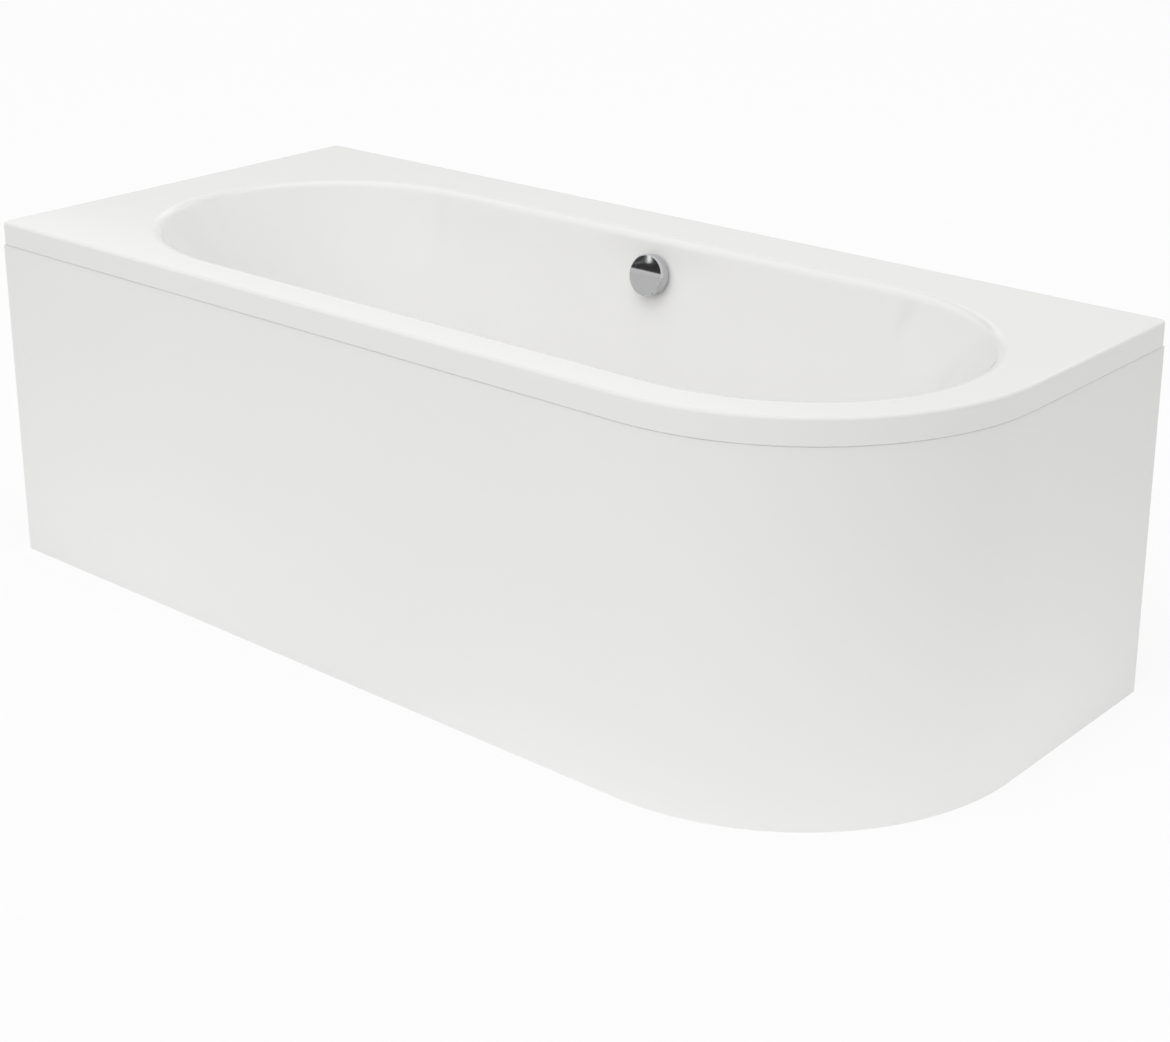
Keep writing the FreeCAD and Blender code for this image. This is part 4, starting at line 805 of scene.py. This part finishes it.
@dataclass(frozen=True)
class BasinPlan:
    """The basin: straight sides that lean, and half-elliptical ends that slope more."""

    centre: Vector = Vector((0.024, -0.022, 0.0))
    half_length: float = 0.752
    half_width: float = 0.280
    reach: float = 0.312
    side_lean: float = math.radians(12)
    end_lean: float = math.radians(30)
    end_share: float = 0.45
    side_steps: int = 24
    end_steps: int = 96

    def stations(self) -> list[tuple[float, float]]:
        """Divide the basin's outline, anticlockwise from the front left.

        Returns:
            Each column's share of the straight, and its angle.
        """
        sides = [2.0 * step / self.side_steps - 1.0 for step in range(self.side_steps)]
        ends = [math.pi * step / self.end_steps for step in range(self.end_steps)]
        columns = [(share, -QUARTER_TURN) for share in sides]
        columns += [(1.0, angle - QUARTER_TURN) for angle in ends]
        columns += [(-share, QUARTER_TURN) for share in sides]
        columns += [(-1.0, angle + QUARTER_TURN) for angle in ends]
        return columns

    def middle_of_back(self) -> int:
        """Return the column in the middle of the back wall."""
        return self.side_steps + self.end_steps + self.side_steps // 2

    def contour(self, drop: float, wall: float, shift: Shift) -> list[Vector]:
        """Return the basin's outline at a depth.

        Args:
            drop: The depth below the deck.
            wall: How far outside the inner face it lies.
            shift: How far out it moves, given the wall's lean there.

        Returns:
            Plan points, one for each column.
        """
        slope = math.tan(self.end_lean)
        side = math.tan(self.side_lean)
        half_width = self.half_width - drop * side + wall / math.cos(self.side_lean)
        half_length = self.half_length - drop * slope + wall / math.cos(self.end_lean)
        reach = self.reach - self.end_share * drop * slope + wall
        points = []
        for share, angle in self.stations():
            cosine, sine = math.cos(angle), math.sin(angle)
            x = share * (half_length - reach) + reach * cosine
            y = half_width * sine
            outward = Vector((cosine / reach, sine / half_width, 0.0)).normalized()
            run_x = slope * ((1 - self.end_share) * share + self.end_share * cosine)
            lean = math.atan(outward.x * run_x + outward.y * side * sine)
            points.append(self.centre + Vector((x, y, 0.0)) + shift(lean) * outward)
        return points


def roll_shift(radius: float, drop: float, lean: float) -> float:
    """Tell how far a rounded top edge stands out from a leaning wall.

    Args:
        radius: The rounding.
        drop: The depth below the deck.
        lean: The wall's angle from upright.

    Returns:
        The distance out.
    """
    if drop >= radius * (1 - math.sin(lean)):
        return 0.0
    length = radius * (1 - math.sin(lean)) / math.cos(lean)
    return length - math.sqrt(radius ** 2 - (radius - drop) ** 2) + drop * math.tan(lean)


def foot_shift(radius: float, height: float, lean: float) -> float:
    """Return how far a rounded floor edge stands in from a leaning wall, as a loss."""
    return -roll_shift(radius, height, lean)


@dataclass(frozen=True)
class BathShell:
    """The rim, lip, deck and basin, formed from one sheet."""

    rim: RimPlan
    basin: BasinPlan
    top: float
    wall: float = 0.006
    lip: float = 0.038
    lip_wall: float = 0.005
    edge: float = 0.0045
    edge_steps: int = 8
    foot: float = 0.001
    roll: float = 0.016
    roll_steps: int = 10
    floor_edge: float = 0.085
    floor_steps: int = 16
    wall_bands: int = 6
    depth: float = 0.430
    margin: float = 0.002
    overflow: Vector = Vector((0.024, 0.244821, 0.518))
    overflow_hole: float = 0.026
    overflow_room: tuple[float, float] = (0.030, 0.094)
    waste: Vector = Vector((0.024, 0.018, 0.0))
    waste_hole: float = 0.026

    def _levels(self, wall: float) -> tuple[list[tuple[float, Shift]], int]:
        """Divide one skin of the basin, from the deck's level to the floor's.

        Args:
            wall: How far outside the inner face the skin lies.

        Returns:
            Each row's depth and shift, and the number of the row above the overflow hole.
        """
        roll = self.roll - wall
        floor_edge = self.floor_edge + wall
        depth = self.depth + wall
        upper, lower = self.overflow_room
        span = depth - floor_edge - lower
        levels = [(wall, lambda lean: roll_shift(roll, 0.0, lean) + self.margin)]
        for _, drop in reversed(rounding(roll, self.roll_steps)):
            levels.append((wall + drop, partial(roll_shift, roll, drop)))
        open_row = len(levels)
        straight = [lower + span * step / self.wall_bands for step in range(self.wall_bands)]
        levels += [(drop, lambda lean: 0.0) for drop in (upper, *straight)]
        for _, height in rounding(floor_edge, self.floor_steps):
            levels.append((depth - height, partial(foot_shift, floor_edge, height)))
        levels.append((depth, lambda lean: foot_shift(floor_edge, 0.0, lean) - self.margin))
        return levels, open_row

    def _basin_rows(self, form: Form, wall: float, skin: int) -> tuple[Row, Row, Row]:
        """Add one skin of the basin, with its overflow hole.

        Args:
            form: The mesh.
            wall: How far outside the inner face the skin lies.
            skin: Its material.

        Returns:
            The row next to the deck, the row next to the floor, and the overflow hole's ring.
        """
        levels, open_row = self._levels(wall)
        rows = []
        for drop, shift in levels:
            rows.append(form.row(raised(self.basin.contour(drop, wall, shift), self.top - drop)))
        middle = self.basin.middle_of_back()
        for index, (first, second) in enumerate(zip(rows, rows[1:])):
            form.band(first, second, skin, (middle - 1, middle) if index == open_row else ())
        hole = form.row(self._overflow_ring(wall))
        above = rows[open_row][middle - 1:middle + 2]
        below = rows[open_row + 1][middle - 1:middle + 2]
        form.fill([above + below[::-1], hole], skin)
        return rows[0], rows[-1], hole

    def _overflow_ring(self, wall: float) -> list[Vector]:
        """Return the overflow hole's edge.

        Args:
            wall: How far outside the back wall's inner face it lies.

        Returns:
            Points round the hole.
        """
        lean = self.basin.side_lean
        inward = Vector((0.0, -math.cos(lean), math.sin(lean)))
        centre = self.overflow - wall * inward
        return circle(centre, ACROSS, inward.cross(ACROSS), self.overflow_hole)

    def _waste_ring(self, height: float) -> list[Vector]:
        """Return the waste hole's edge at a height."""
        centre = Vector((self.waste.x, self.waste.y, height))
        return circle(centre, ACROSS, ALONG, self.waste_hole)

    def build(self, paint: Paint) -> None:
        """Make the shell: gloss on its faces, glass strands on its back.

        Args:
            paint: The materials.
        """
        form = Form()
        gloss, backing = 0, 1
        base = self.top - self.lip
        under = self.top - self.wall
        inside = [(self.lip_wall + self.margin, under), (self.lip_wall, under)]
        inside += [(self.lip_wall, base + self.foot), (self.lip_wall - self.foot, base)]
        outside = [(self.foot, base), (0.0, base + self.foot)]
        for inset, drop in rounding(self.edge, self.edge_steps):
            outside.append((inset, self.top - drop))
        outside += [(self.edge + self.margin, self.top)]
        lip_in = [form.row(raised(self.rim.loop(inset), height)) for inset, height in inside]
        lip_out = [form.row(raised(self.rim.loop(inset), height)) for inset, height in outside]
        form.bands(lip_in, backing)
        form.band(lip_in[-1], lip_out[0], gloss)
        form.bands(lip_out, gloss)
        deck, floor, hole = self._basin_rows(form, 0.0, gloss)
        deck_back, floor_back, hole_back = self._basin_rows(form, self.wall, backing)
        form.fill([lip_out[-1], deck], gloss)
        form.fill([lip_in[0], deck_back], backing)
        drain = form.row(self._waste_ring(self.top - self.depth))
        drain_back = form.row(self._waste_ring(self.top - self.depth - self.wall))
        form.fill([floor, drain], gloss)
        form.fill([floor_back, drain_back], backing)
        form.band(drain, drain_back, gloss)
        form.band(hole, hole_back, gloss)
        made = form.piece("shell_moulding", (paint.of_slot[Slot.BATH_ACRYLIC], paint.backing))
        hand_in(made, Body.ROOT.value, Slot.BATH_ACRYLIC, "bath_shell")


@dataclass(frozen=True)
class BathPanel:
    """The curved panel of the front, the corner and the right end, with returned edges."""

    rim: RimPlan
    top: float
    wall: float = 0.004
    inset: float = 0.0015
    top_return: float = 0.024
    foot_return: float = 0.018
    end_return: float = 0.016
    edge: float = 0.0012
    edge_steps: int = 6
    softness: float = 0.0005
    soft_steps: int = 2

    def _section(self) -> tuple[list[tuple[float, float]], int]:
        """Draw the sheet's section, from the foot of its face.

        Returns:
            Corners, each a distance in and a height, and the number of the first one of the
            hollow behind the face.
        """
        back = self.inset + self.wall
        plate = self.inset + self.end_return
        lid = self.inset + self.top_return
        sole = self.inset + self.foot_return
        roof = self.top - self.wall
        section = [(self.inset, 0.0)]
        for inset, drop in rounding(self.edge, self.edge_steps):
            section.append((self.inset + inset, self.top - drop))
        section += [(lid, self.top), (lid, roof), (plate, roof), (back, roof), (back, self.wall)]
        section += [(plate, self.wall), (sole, self.wall), (sole, 0.0)]
        return section, section.index((plate, roof))

    def build(self, paint: Paint) -> None:
        """Make the panel as one swept sheet with a plate at each end.

        Args:
            paint: The materials.
        """
        form = Form()
        section, hollow = self._section()
        rows = []
        for spot, inward in self.rim.open_side(self.inset, self.wall):
            rows.append(form.row(
                spot + inset * inward + Vector((0.0, 0.0, height)) for inset, height in section
            ))
        corner_span = (hollow, hollow + 1, hollow + 2)
        last = len(rows) - 2
        for index, (first, second) in enumerate(zip(rows, rows[1:])):
            form.band(first, second, skipped=corner_span if index in (0, last) else ())
        for outer, inner in ((rows[0], rows[1]), (rows[-1], rows[-2])):
            form.face((outer[hollow], outer[hollow + 3], inner[hollow + 3], inner[hollow]))
            form.face([inner[hollow + step] for step in range(4)])
            form.face([corner for step, corner in enumerate(outer) if step not in corner_span[1:]])
            for step in corner_span[1:]:
                form.mesh.verts.remove(outer[step])
        made = form.piece("panel_moulding", (paint.of_slot[Slot.PANEL_ACRYLIC],))
        soften(made, self.softness, self.soft_steps)
        hand_in(made, Body.ROOT.value, Slot.PANEL_ACRYLIC, "bath_panel")


@dataclass(frozen=True)
class OverflowKnob:
    """The bevelled chrome cup that is turned to lift the plug."""

    origin: Vector
    lean: float
    radius: float = 0.034
    depth: float = 0.017
    wall: float = 0.0025
    bevel: float = 0.0022
    back_edge: float = 0.0006
    stand_off: float = 0.0045
    hub: float = 0.009
    hub_rise: float = 0.001
    bore: float = 0.00505
    slack: float = math.radians(0.8)
    around: int = 128
    softness: float = 0.00035
    soft_steps: int = 3

    def build(self, paint: Paint) -> None:
        """Make the knob on the back wall.

        Args:
            paint: The materials.
        """
        low = self.stand_off
        high = low + self.depth
        roof = high - self.wall
        inside = self.radius - self.wall
        hub_base = low + self.hub_rise
        profile = [(self.radius - self.back_edge, low), (self.radius, low + self.back_edge)]
        profile += [(self.radius, high - self.bevel), (self.radius - self.bevel, high)]
        profile += [(0.0, high), (0.0, roof), (self.bore, roof), (self.bore, hub_base)]
        profile += [(self.hub, hub_base), (self.hub, roof), (inside, roof), (inside, low)]
        tip = QUARTER_TURN - self.lean - self.slack
        place = Matrix.Translation(self.origin) @ Matrix.Rotation(tip, 4, "X")
        form = Form()
        form.turn(profile, place, self.around)
        made = form.piece("knob_cup", (paint.of_slot[Slot.CHROME],))
        soften(made, self.softness, self.soft_steps)
        hand_in(made, Body.HANDLE.value, Slot.CHROME, "overflow_knob")


@dataclass(frozen=True)
class WastePlug:
    """The domed chrome cap over the waste."""

    low: Vector
    high: Vector
    radius: float = 0.031
    edge: float = 0.0024
    bevel: float = 0.0008
    boss: float = 0.0165
    boss_depth: float = 0.0045
    bore: float = 0.00355
    dome_steps: int = 20
    around: int = 112
    crease: float = 24.0
    softness: float = 0.00025
    soft_steps: int = 2

    def build(self, paint: Paint) -> None:
        """Make the plug's cap with its boss.

        Args:
            paint: The materials.
        """
        base = self.low.z
        crown = self.high.z
        under = base + self.boss_depth
        shoulder = under + self.edge
        rim = self.radius - self.bevel
        rise = crown - shoulder
        dome = (rim ** 2 + rise ** 2) / (2 * rise)
        widest = math.asin(rim / dome)
        angles = [widest * (1 - step / self.dome_steps) for step in range(self.dome_steps + 1)]
        profile = [(0.0, under), (self.bore, under), (self.bore, base), (self.boss, base)]
        profile += [(self.boss, under), (rim, under), (self.radius, under + self.bevel)]
        profile += [(self.radius, shoulder - self.bevel)]
        profile += [(dome * math.sin(a), crown - dome * (1 - math.cos(a))) for a in angles]
        centre = 0.5 * (self.low + self.high)
        form = Form()
        form.turn(profile, Matrix.Translation((centre.x, centre.y, 0.0)), self.around)
        made = form.piece("plug_cap", (paint.of_slot[Slot.CHROME],), self.crease)
        soften(made, self.softness, self.soft_steps)
        hand_in(made, Body.PLUG.value, Slot.CHROME, "waste_plug")


@dataclass(frozen=True)
class Route:
    """The line of a flexible piece: a smooth spline on given points."""

    name: str
    points: tuple[Point, ...]
    order: int = 3
    fineness: int = 32
    shortest: float = 1e-7

    def curve(self) -> bpy.types.Object:
        """Draw the line.

        Returns:
            A curve object that isn't linked yet.
        """
        data = bpy.data.curves.new(self.name, "CURVE")
        data.dimensions = "3D"
        data.resolution_u = self.fineness
        spline = data.splines.new("NURBS")
        spline.points.add(len(self.points) - 1)
        for control, place in zip(spline.points, self.points):
            control.co = (*place, 1.0)
        spline.order_u = self.order
        spline.use_endpoint_u = True
        return bpy.data.objects.new(self.name, data)

    def steps(self, spacing: float) -> list[tuple[Vector, Vector]]:
        """Return evenly spaced places on the line, each with its heading.

        Args:
            spacing: About how far apart they are.

        Returns:
            Places and headings from the first end to the last.
        """
        holder = self.curve()
        mesh = bpy.data.meshes.new_from_object(holder)
        line = [vertex.co.copy() for vertex in mesh.vertices]
        bpy.data.objects.remove(holder)
        bpy.data.meshes.remove(mesh)
        spans = [(first, second, (second - first).length) for first, second in zip(line, line[1:])]
        spans = [span for span in spans if span[2] > self.shortest]
        total = sum(span[2] for span in spans)
        count = round(total / spacing)
        places = []
        index, passed = 0, 0.0
        for step in range(count + 1):
            wanted = total * step / count
            while index < len(spans) - 1 and passed + spans[index][2] < wanted:
                passed += spans[index][2]
                index += 1
            first, second, length = spans[index]
            place = first.lerp(second, (wanted - passed) / length)
            places.append((place, (second - first) / length))
        return places


@dataclass(frozen=True)
class OverflowHose:
    """The ribbed hose that hangs from the overflow and turns to the waste."""

    route: Route
    radius: float = 0.0145
    bore: float = 0.0125
    rib: float = 0.0022
    pitch: float = 0.0065
    plain_end: float = 0.032
    around: int = 36
    rows_per_rib: int = 8
    crease: float = 60.0

    def _outside(self, distance: float, length: float) -> float:
        """Tell how thick the hose is.

        Args:
            distance: How far along the hose.
            length: The whole length.

        Returns:
            The radius over the ribs.
        """
        ribs = length - 2 * self.plain_end
        count = round(ribs / self.pitch)
        along = (distance - self.plain_end) / ribs
        if along <= 0.0 or along >= 1.0:
            return self.radius
        crest = 0.5 - 0.5 * math.cos(FULL_TURN * along * count)
        return self.radius + self.rib * math.sqrt(crest)

    def build(self, paint: Paint) -> None:
        """Make the hose with its ribs and its bore.

        Args:
            paint: The materials.
        """
        form = Form()
        spacing = self.pitch / self.rows_per_rib
        places = self.route.steps(spacing)
        length = spacing * (len(places) - 1)
        outer = []
        inner = []
        for index, (place, heading) in enumerate(places):
            square = heading.cross(ACROSS)
            radius = self._outside(index * spacing, length)
            outer.append(form.row(circle(place, ACROSS, square, radius, self.around)))
            if index % self.rows_per_rib == 0 or index == len(places) - 1:
                inner.append(form.row(circle(place, ACROSS, square, self.bore, self.around)))
        form.bands(outer)
        form.bands(inner)
        form.band(outer[0], inner[0])
        form.band(outer[-1], inner[-1])
        made = form.piece("ribbed_hose", (paint.of_slot[Slot.HOSE_PLASTIC],), self.crease)
        hand_in(made, Body.ROOT.value, Slot.HOSE_PLASTIC, "overflow_hose")


@dataclass(frozen=True)
class PullCable:
    """The sheathed cable from the knob's crank to the lever under the plug."""

    route: Route
    radius: float = 0.0025
    roundness: int = 5

    def build(self, paint: Paint) -> None:
        """Make the cable as a round curve.

        Args:
            paint: The materials.
        """
        made = self.route.curve()
        made.data.bevel_depth = self.radius
        made.data.bevel_resolution = self.roundness
        made.data.use_fill_caps = True
        made.data.materials.append(paint.of_slot[Slot.CABLE_SHEATH])
        bpy.context.scene.collection.objects.link(made)
        hand_in(made, Body.ROOT.value, Slot.CABLE_SHEATH, "pull_cable")


@dataclass(frozen=True)
class FootStud:
    """A levelling stud with its screw thread."""

    place: str
    pitch: float = 0.00175
    thread: float = 0.00105
    plain: float = 0.020
    around: int = 20
    rows_per_turn: int = 6
    crease: float = 80.0

    def _ring(self, height: float, low: Vector, high: Vector) -> list[Vector]:
        """Return the stud's outline at a height.

        Args:
            height: The height.
            low: The lowest corner of the stud's solid.
            high: Its highest corner.

        Returns:
            Points round the stud.
        """
        centre = 0.5 * (low + high)
        radius = 0.5 * (high.x - low.x)
        end = min(1.0, (high.z - height) / (2 * self.thread))
        depth = self.thread if height > low.z + self.plain else 0.0
        points = []
        for column in range(self.around):
            turn = column / self.around
            phase = ((height - low.z) / self.pitch - turn) % 1.0
            groove = depth * abs(2.0 * phase - 1.0)
            size = min(radius - groove, radius - self.thread * (1.0 - end))
            angle = FULL_TURN * turn
            spot = Vector((size * math.cos(angle), size * math.sin(angle), height))
            points.append(spot + Vector((centre.x, centre.y, 0.0)))
        return points

    def build(self, paint: Paint) -> None:
        """Make the stud in the place of its solid.

        Args:
            paint: The materials.
        """
        node = "foot_stud_" + self.place
        low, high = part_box(node)
        centre = 0.5 * (low + high)
        tall = high.z - low.z
        form = Form()
        count = round(tall * self.rows_per_turn / self.pitch)
        rows = [form.row(raised([centre], low.z))]
        for step in range(count + 1):
            rows.append(form.row(self._ring(low.z + tall * step / count, low, high)))
        rows.append(form.row(raised([centre], high.z)))
        form.bands(rows)
        steel = paint.of_slot[Slot.ZINC_FASTENER]
        made = form.piece("threaded_stud_" + self.place, (steel,), self.crease)
        hand_in(made, "foot_" + self.place, Slot.ZINC_FASTENER, node)


@dataclass(frozen=True)
class KeptSolids:
    """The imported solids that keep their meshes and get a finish."""

    pointed: tuple[str, ...] = (
        "leg_screws",
        "centre_foot_screws",
        "panel_clip_screws",
        "wall_bracket_screws",
    )
    tip_gap: float = 0.00001

    def dress(self, paint: Paint) -> None:
        """Give each solid the material of its slot, and close the screws' tips.

        Args:
            paint: The materials.
        """
        for entry in frame["record"]["subparts"]:
            node = frame["nodes"][entry["node"]]
            material = paint.of_slot[Slot(entry["material_slot"])]
            for holder in node.material_slots:
                holder.material = material
            if entry["node"] in self.pointed:
                node.modifiers.new("closed_tips", "WELD").merge_threshold = self.tip_gap
            LOG.info("%s is dressed as %s", entry["node"], material.name)


@dataclass(frozen=True)
class Card:
    """An upright board beside the set, which only gloss shows."""

    name: str
    place: Point
    facing: Point
    size: tuple[float, float]
    levels: tuple[float, float]
    fade_from: float = 0.0
    tilt: float = 0.0

    def build(self) -> None:
        """Add the board, hidden from all but gloss."""
        form = Form()
        form.plate(*self.size)
        board = form.piece(self.name, (new_material(self.name, self._shade),))
        aim = (Vector(self.facing) - Vector(self.place)).to_track_quat("Z", "Y")
        turn = aim.to_matrix().to_4x4() @ Matrix.Rotation(self.tilt, 4, "Z")
        board.matrix_world = Matrix.Translation(self.place) @ turn
        board.visible_camera = False
        board.visible_diffuse = False
        board.visible_transmission = False
        board.visible_shadow = False

    def _shade(self, graph: Graph) -> Signal:
        """Write a light that goes from the foot's level to the head's.

        Args:
            graph: The material's nodes.

        Returns:
            The light.
        """
        where = graph.node("ShaderNodeTexCoord", output="Object")
        rise = graph.axis(where, "Y") * (1.0 / self.size[1]) + 0.5
        share = (rise - self.fade_from) * (1.0 / (1.0 - self.fade_from))
        foot, head = self.levels
        level = foot + (head - foot) * graph.up_to_one(graph.positive(share))
        return graph.node("ShaderNodeEmission", None, {"Color": level})


@dataclass(frozen=True)
class Glow:
    """A soft patch of light that the floor throws up at the object."""

    centre: Point
    stretch: Point
    reach: float
    level: float

    def on(self, graph: Graph) -> Signal:
        """Write the patch.

        Args:
            graph: The floor's nodes.

        Returns:
            The patch's strength over the floor.
        """
        away = graph.node("ShaderNodeTexCoord", output="Object")
        for operation, other in (("SUBTRACT", self.centre), ("MULTIPLY", self.stretch)):
            settings = {"operation": operation}
            away = graph.node("ShaderNodeVectorMath", settings, {0: away, 1: other})
        away = graph.node("ShaderNodeVectorMath", {"operation": "LENGTH"}, {0: away}, "Value")
        return self.level * graph.positive(1.0 - away * (1.0 / self.reach))


@dataclass(frozen=True)
class Studio:
    """A pale floor and soft light, as in a plain product picture."""

    floor_size: float = 50.0
    floor_colour: Colour = (0.55, 0.55, 0.55)
    floor_paper: Colour = (0.93, 0.93, 0.93)
    floor_white: float = 0.84
    glows: tuple[Glow, ...] = (
        Glow((0.48, -0.28, 0.0), (0.55, 0.9, 1.0), 0.98, 0.57),
        Glow((-0.75, -0.85, 0.0), EVEN, 0.80, 0.44),
        Glow((1.25, 0.10, 0.0), EVEN, 0.75, 0.27),
        Glow((0.3, -1.6, 0.0), (0.6, 1.0, 1.0), 0.90, 0.72),
        Glow((1.5, -0.9, 0.0), EVEN, 0.80, 0.54),
    )
    dome_back: float = 1.31
    dome_right: float = 0.23
    dome_high: float = 1.74
    high_rise: float = 0.8
    high_front: float = 0.6
    lamp_place: Point = (-0.4, -0.4, 3.2)
    lamp_aim: Point = (0.0, 0.0, 0.3)
    lamp_size: float = 2.6
    lamp_watts: float = 11.5

    def build(self, knob: Vector) -> None:
        """Set up the floor, the light and the boards that the gloss reflects.

        Args:
            knob: The knob's place, whose face mirrors the dark board.
        """
        self._floor()
        self._world()
        self._lamp()
        for card in self._cards(tuple(knob)):
            card.build()
        bpy.context.scene.view_settings.view_transform = "Standard"

    @staticmethod
    def _cards(knob: Point) -> list[Card]:
        """List the boards: three for the knob's face and two behind the bath.

        Args:
            knob: The knob's place.

        Returns:
            The boards.
        """
        low, high = (-3.1, 3.0, 1.02), (-3.1, 3.0, 4.7)
        low_aim, high_aim = (-3.1, 0.0, 1.02), (-3.1, 0.0, 4.7)
        dark, bright, dim = (-1.34, -1.55, 0.77), (-1.308, -1.51, 0.727), (-1.325, -1.505, 0.712)
        return [
            Card("dark_board", dark, knob, (0.30, 0.24), (0.03, 0.10)),
            Card("bright_slot", bright, knob, (0.010, 0.024), (1.7, 1.7), tilt=-0.25),
            Card("dim_slot", dim, knob, (0.0035, 0.05), (0.35, 0.30), tilt=1.05),
            Card("grey_board", low, low_aim, (10.0, 2.04), (0.64, 0.70), fade_from=0.90),
            Card("high_board", high, high_aim, (10.0, 4.0), (0.20, 0.20)),
        ]

    @staticmethod
    def _seen_directly(graph: Graph) -> Signal:
        """Tell rays that show a picture from light that spreads.

        Args:
            graph: The nodes of the floor or the world.

        Returns:
            1 for rays from the camera, off gloss or through glass, and otherwise 0.
        """
        camera = graph.node("ShaderNodeLightPath", output="Is Camera Ray")
        glossy = graph.node("ShaderNodeLightPath", output="Is Glossy Ray")
        through = graph.node("ShaderNodeLightPath", output="Is Transmission Ray")
        return graph.up_to_one(camera + glossy + through)

    def _floor(self) -> None:
        """Add the floor."""
        form = Form()
        form.plate(self.floor_size, self.floor_size)
        form.piece("studio_floor", (new_material("studio_floor", self._floor_shade),))

    def _floor_shade(self, graph: Graph) -> Signal:
        """Write a floor that is white to the eye and softly lit round the bath.

        Args:
            graph: The material's nodes.

        Returns:
            The surface.
        """
        near = sum((glow.on(graph) for glow in self.glows), 0.0)
        matt = graph.node("ShaderNodeBsdfDiffuse", None, {"Color": self.floor_colour})
        lit = graph.node("ShaderNodeEmission", None, {"Color": near})
        pale = graph.node("ShaderNodeAddShader", None, {0: matt, 1: lit})
        paper = graph.node("ShaderNodeBsdfDiffuse", None, {"Color": self.floor_paper})
        white = graph.node("ShaderNodeEmission", None, {"Color": WHITE})
        plain = graph.mix(self.floor_white, paper, white)
        return graph.mix(self._seen_directly(graph), pale, plain)

    def _world(self) -> None:
        """Light the scene from a soft dome, which is plain white where it is seen."""
        world = bpy.data.worlds.new("studio_dome")
        world.use_nodes = True
        bpy.context.scene.world = world
        graph = Graph(world.node_tree)
        ray = graph.node("ShaderNodeTexCoord", output="Generated")
        across, along, upward = [graph.axis(ray, name) for name in "XYZ"]
        high = graph.positive(self.high_rise * upward - self.high_front * along)
        level = self.dome_back * graph.positive(along) + self.dome_right * graph.positive(across)
        level = level + self.dome_high * high * high * high
        soft = graph.node("ShaderNodeBackground", None, {"Color": level})
        white = graph.node("ShaderNodeBackground", None, {"Color": WHITE})
        mixed = graph.mix(self._seen_directly(graph), soft, white)
        graph.node("ShaderNodeOutputWorld", None, {"Surface": mixed})

    def _lamp(self) -> None:
        """Add a large soft lamp that neither the camera nor gloss shows."""
        data = bpy.data.lights.new("overhead_light", "AREA")
        data.size = self.lamp_size
        data.energy = self.lamp_watts
        lamp = bpy.data.objects.new("overhead_light", data)
        lamp.location = self.lamp_place
        aim = Vector(self.lamp_aim) - Vector(self.lamp_place)
        lamp.rotation_euler = aim.to_track_quat("-Z", "Y").to_euler()
        lamp.visible_camera = False
        lamp.visible_glossy = False
        bpy.context.scene.collection.objects.link(lamp)


@dataclass(frozen=True)
class PhotoCamera:
    """The photograph's point of view."""

    place: Point = (2.1731, -2.4155, 1.5029)
    yaw: float = -0.7116
    pitch: float = 0.3281
    lens_mm: float = 68.19
    sensor_mm: float = 36.0
    shift_up: float = -0.12

    def build(self) -> None:
        """Add the camera and make it the scene's own."""
        level = math.cos(self.pitch)
        cosine, sine = math.cos(self.yaw), math.sin(self.yaw)
        ahead = Vector((level * sine, level * cosine, -math.sin(self.pitch)))
        right = Vector((cosine, -sine, 0.0))
        above = right.cross(ahead)
        data = bpy.data.cameras.new("photo_camera")
        data.sensor_fit = "HORIZONTAL"
        data.sensor_width = self.sensor_mm
        data.lens = self.lens_mm
        data.shift_y = self.shift_up
        camera = bpy.data.objects.new("photo_camera", data)
        turn = Matrix((right, above, -ahead)).transposed().to_4x4()
        camera.matrix_world = Matrix.Translation(self.place) @ turn
        bpy.context.scene.collection.objects.link(camera)
        bpy.context.scene.camera = camera


HOSE_ROUTE = Route("hose_line", (
    (0.024, 0.2708, 0.4713),
    (0.024, 0.2708, 0.302),
    (0.024, 0.2708, 0.112),
    (0.024, 0.0808, 0.112),
    (0.024, 0.051, 0.112),
))
CABLE_ROUTE = Route("pull_cable_sheath", (
    (-0.003, 0.2708, 0.4793),
    (-0.003, 0.2708, 0.2355),
    (-0.003, 0.2708, 0.1155),
    (-0.028, 0.1758, 0.1155),
    (-0.028, -0.058, 0.1155),
    (0.024, -0.058, 0.1155),
    (0.024, -0.022, 0.1155),
))
FOOT_PLACES = ("front_left", "back_left", "front_right", "back_right", "centre")
SEAM_CLOSING = 0.0008


def main() -> None:
    """Build the pieces, dress the solids and set up the studio."""
    logging.basicConfig(level=logging.INFO, format="%(name)s: %(message)s")
    paint = Paint()
    low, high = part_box("bath_shell")
    rim = RimPlan(low.x, low.y, high.x, high.y)
    basin = BasinPlan()
    shell = BathShell(rim, basin, high.z)
    shell.build(paint)
    BathPanel(rim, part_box("bath_panel")[1].z + SEAM_CLOSING).build(paint)
    OverflowKnob(shell.overflow, basin.side_lean).build(paint)
    WastePlug(*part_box("waste_plug")).build(paint)
    OverflowHose(HOSE_ROUTE).build(paint)
    PullCable(CABLE_ROUTE).build(paint)
    for place in FOOT_PLACES:
        FootStud(place).build(paint)
    KeptSolids().dress(paint)
    Studio().build(shell.overflow)
    PhotoCamera().build()


if __name__ == "__main__":
    main()
